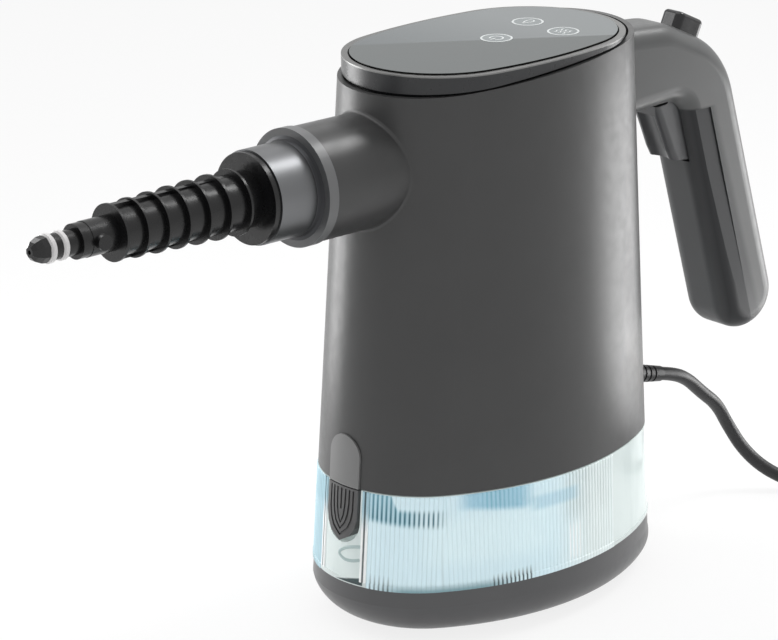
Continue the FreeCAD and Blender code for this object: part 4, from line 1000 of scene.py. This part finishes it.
def touchLines():
    marks = touchMarks
    line, fine = marks["line"], marks["fine"]
    drops, steam, power = marks["drops"], marks["steam"], marks["power"]
    lines = [(ringPath(middle, marks["radius"]), line, True) for middle in (drops, steam, power)]
    lines.append((ringPath(power, marks["powerRadius"], *marks["powerArc"]), fine, False))
    lines.append(([(power[0] - back, power[1]) for back in marks["powerBar"]], fine, False))
    half, count = marks["waveHalf"], marks["waveSteps"]
    for shift in marks["waveShifts"]:
        wave = []
        for i in range(count + 1):
            swing = marks["waveSwing"] * math.sin(math.pi * i / marks["wavePeriod"])
            wave.append((steam[0] + half - 2 * half * i / count, steam[1] + shift + swing))
        lines.append((wave, fine, False))
    drop = []
    for i in range(marks["dropSteps"] + 1):
        angle = 2 * math.pi * i / marks["dropSteps"]
        pinch = marks["dropWide"] * math.sin(angle) * math.sin(angle / 2) ** marks["dropPinch"]
        drop.append((drops[0] - marks["dropHalf"] * math.cos(angle), drops[1] + pinch))
    lines.append((drop[1:-1], fine, True))
    return lines


def padMesh():
    points, faces = [], []
    for key in ("drops", "steam", "power"):
        path = ringPath(touchMarks[key], touchMarks["radius"] - touchMarks["padInset"])
        first, n = len(points), len(path)
        for lift in touchMarks["padLifts"]:
            points += [onGlass(x, y, lift) for x, y in path]
        faces.append(tuple(first + n - 1 - i for i in range(n)))
        faces.append(tuple(first + n + i for i in range(n)))
        for i in range(n):
            a, b = first + i, first + (i + 1) % n
            faces.append((a, b, b + n, a + n))
    return meshFrom("touchPads", points, faces)


printWhite = moulded("printWhite", (0.60, 0.63, 0.63), 0.3, spread=0.04)
padGrey = moulded("padGrey", (0.20, 0.225, 0.23), 0.1, spread=0.2, strength=0.02)
printed = strokes("touchMarks", touchLines(), *touchMarks["strokeLifts"])
place("touchMarks", printed, "housing", printWhite)
place("touchPads", padMesh(), "housing", padGrey)
print("stage: glass marked")

studio = {
    "floorReach": 6.0,
    "floorDrop": 0.0002,
    "floorWhite": 0.82,
    "paper": 0.90,
    "fibreScale": 400.0,
    "fibreDepth": (0.05, 0.0002),
    # lamp: place, target, width, height, radiance
    "lamps": {
        "topSoft": ((-0.05, 0.25, 1.3), (0.0, 0.0, 0.15), 1.1, 1.1, 1.2),
        "backSoft": ((0.72, 0.56, 0.75), (0.0, 0.0, 0.2), 0.35, 0.35, 0.8),
        "keySoft": ((0.68, -0.12, 1.00), (-0.1, 0.0, 0.2), 0.32, 0.32, 12.5),
        "leftSoft": ((-0.20, 0.44, 0.40), (-0.06, 0.0, 0.20), 0.24, 0.40, 3.0),
        "leftLow": ((-0.18, 0.38, 0.11), (-0.06, 0.0, 0.10), 0.20, 0.22, 4.5),
        "rightSoft": ((0.50, -0.12, 0.42), (0.06, 0.0, 0.20), 0.22, 0.40, 0.5),
        "rightLow": ((0.42, -0.11, 0.08), (0.06, 0.0, 0.06), 0.20, 0.16, 4.6),
        "rightFoot": ((0.25, -0.072, 0.032), (0.10, -0.02, 0.055), 0.10, 0.055, 4.2),
    },
    # the world's light behind the viewer and ahead, and where it turns from one to the other
    "nearLight": 0.55,
    "farLight": 0.85,
    "turnFrom": -0.2,
    "turnTo": 0.9,
}


def showsBackdrop(tree):
    # one for the rays that see the backdrop itself: camera, glossy and transmission
    path = tree.nodes.new("ShaderNodeLightPath")
    seen = path.outputs["Is Camera Ray"]
    for other in ("Is Glossy Ray", "Is Transmission Ray"):
        either = tree.nodes.new("ShaderNodeMath")
        either.operation = "MAXIMUM"
        tree.links.new(seen, either.inputs[0])
        tree.links.new(path.outputs[other], either.inputs[1])
        seen = either.outputs[0]
    return seen


def setFloor():
    reach = studio["floorReach"]
    corners = [(-reach, -reach, 0), (reach, -reach, 0), (reach, reach, 0), (-reach, reach, 0)]
    floor = bpy.data.objects.new("floor", meshFrom("floor", corners, [(0, 1, 2, 3)]))
    floor.location.z = -studio["floorDrop"]
    bpy.context.scene.collection.objects.link(floor)
    s = Finish("floorPaper")
    fibre = s.bump(s.noise(studio["fibreScale"]), *studio["fibreDepth"])
    paper = s.principled(Base_Color=(studio["paper"],) * 3, Roughness=0.8, Normal=fibre)
    glow = s.add("ShaderNodeEmission")
    blend = s.add("ShaderNodeMixShader")
    s.put(blend.inputs[0], s.times(showsBackdrop(s.tree), studio["floorWhite"]))
    s.put(blend.inputs[1], paper)
    s.put(blend.inputs[2], glow.outputs[0])
    floor.data.materials.append(s.done(blend.outputs[0]))


def setLamps():
    for name, (where, target, width, height, radiance) in studio["lamps"].items():
        light = bpy.data.lights.new(name, "AREA")
        light.shape = "RECTANGLE"
        light.size = width
        light.size_y = height
        light.energy = radiance * math.pi * width * height
        lamp = bpy.data.objects.new(name, light)
        lamp.location = where
        lamp.rotation_euler = (Vector(target) - Vector(where)).to_track_quat("-Z", "Y").to_euler()
        lamp.visible_camera = False
        bpy.context.scene.collection.objects.link(lamp)


def setWorld():
    # dimmer on the near side, and plain white where the backdrop itself is seen
    world = bpy.data.worlds.new("world")
    bpy.context.scene.world = world
    world.use_nodes = True
    tree = world.node_tree
    tree.nodes.clear()
    output = tree.nodes.new("ShaderNodeOutputWorld")
    backdrop = tree.nodes.new("ShaderNodeBackground")
    coords = tree.nodes.new("ShaderNodeTexCoord")
    dot = tree.nodes.new("ShaderNodeVectorMath")
    dot.operation = "DOT_PRODUCT"
    dot.inputs[1].default_value = view["back"]
    ramp = tree.nodes.new("ShaderNodeMapRange")
    ramp.interpolation_type = "SMOOTHSTEP"
    ramp.inputs["From Min"].default_value = studio["turnFrom"]
    ramp.inputs["From Max"].default_value = studio["turnTo"]
    ramp.inputs["To Min"].default_value = studio["farLight"]
    ramp.inputs["To Max"].default_value = studio["nearLight"]
    white = tree.nodes.new("ShaderNodeMix")
    tree.links.new(coords.outputs["Generated"], dot.inputs[0])
    tree.links.new(dot.outputs["Value"], ramp.inputs["Value"])
    tree.links.new(showsBackdrop(tree), white.inputs[0])
    tree.links.new(ramp.outputs[0], white.inputs[2])
    white.inputs[3].default_value = 1.0
    tree.links.new(white.outputs[0], backdrop.inputs["Strength"])
    tree.links.new(backdrop.outputs[0], output.inputs["Surface"])


setFloor()
setLamps()
setWorld()
print("stage: light set")

print("stage: done")
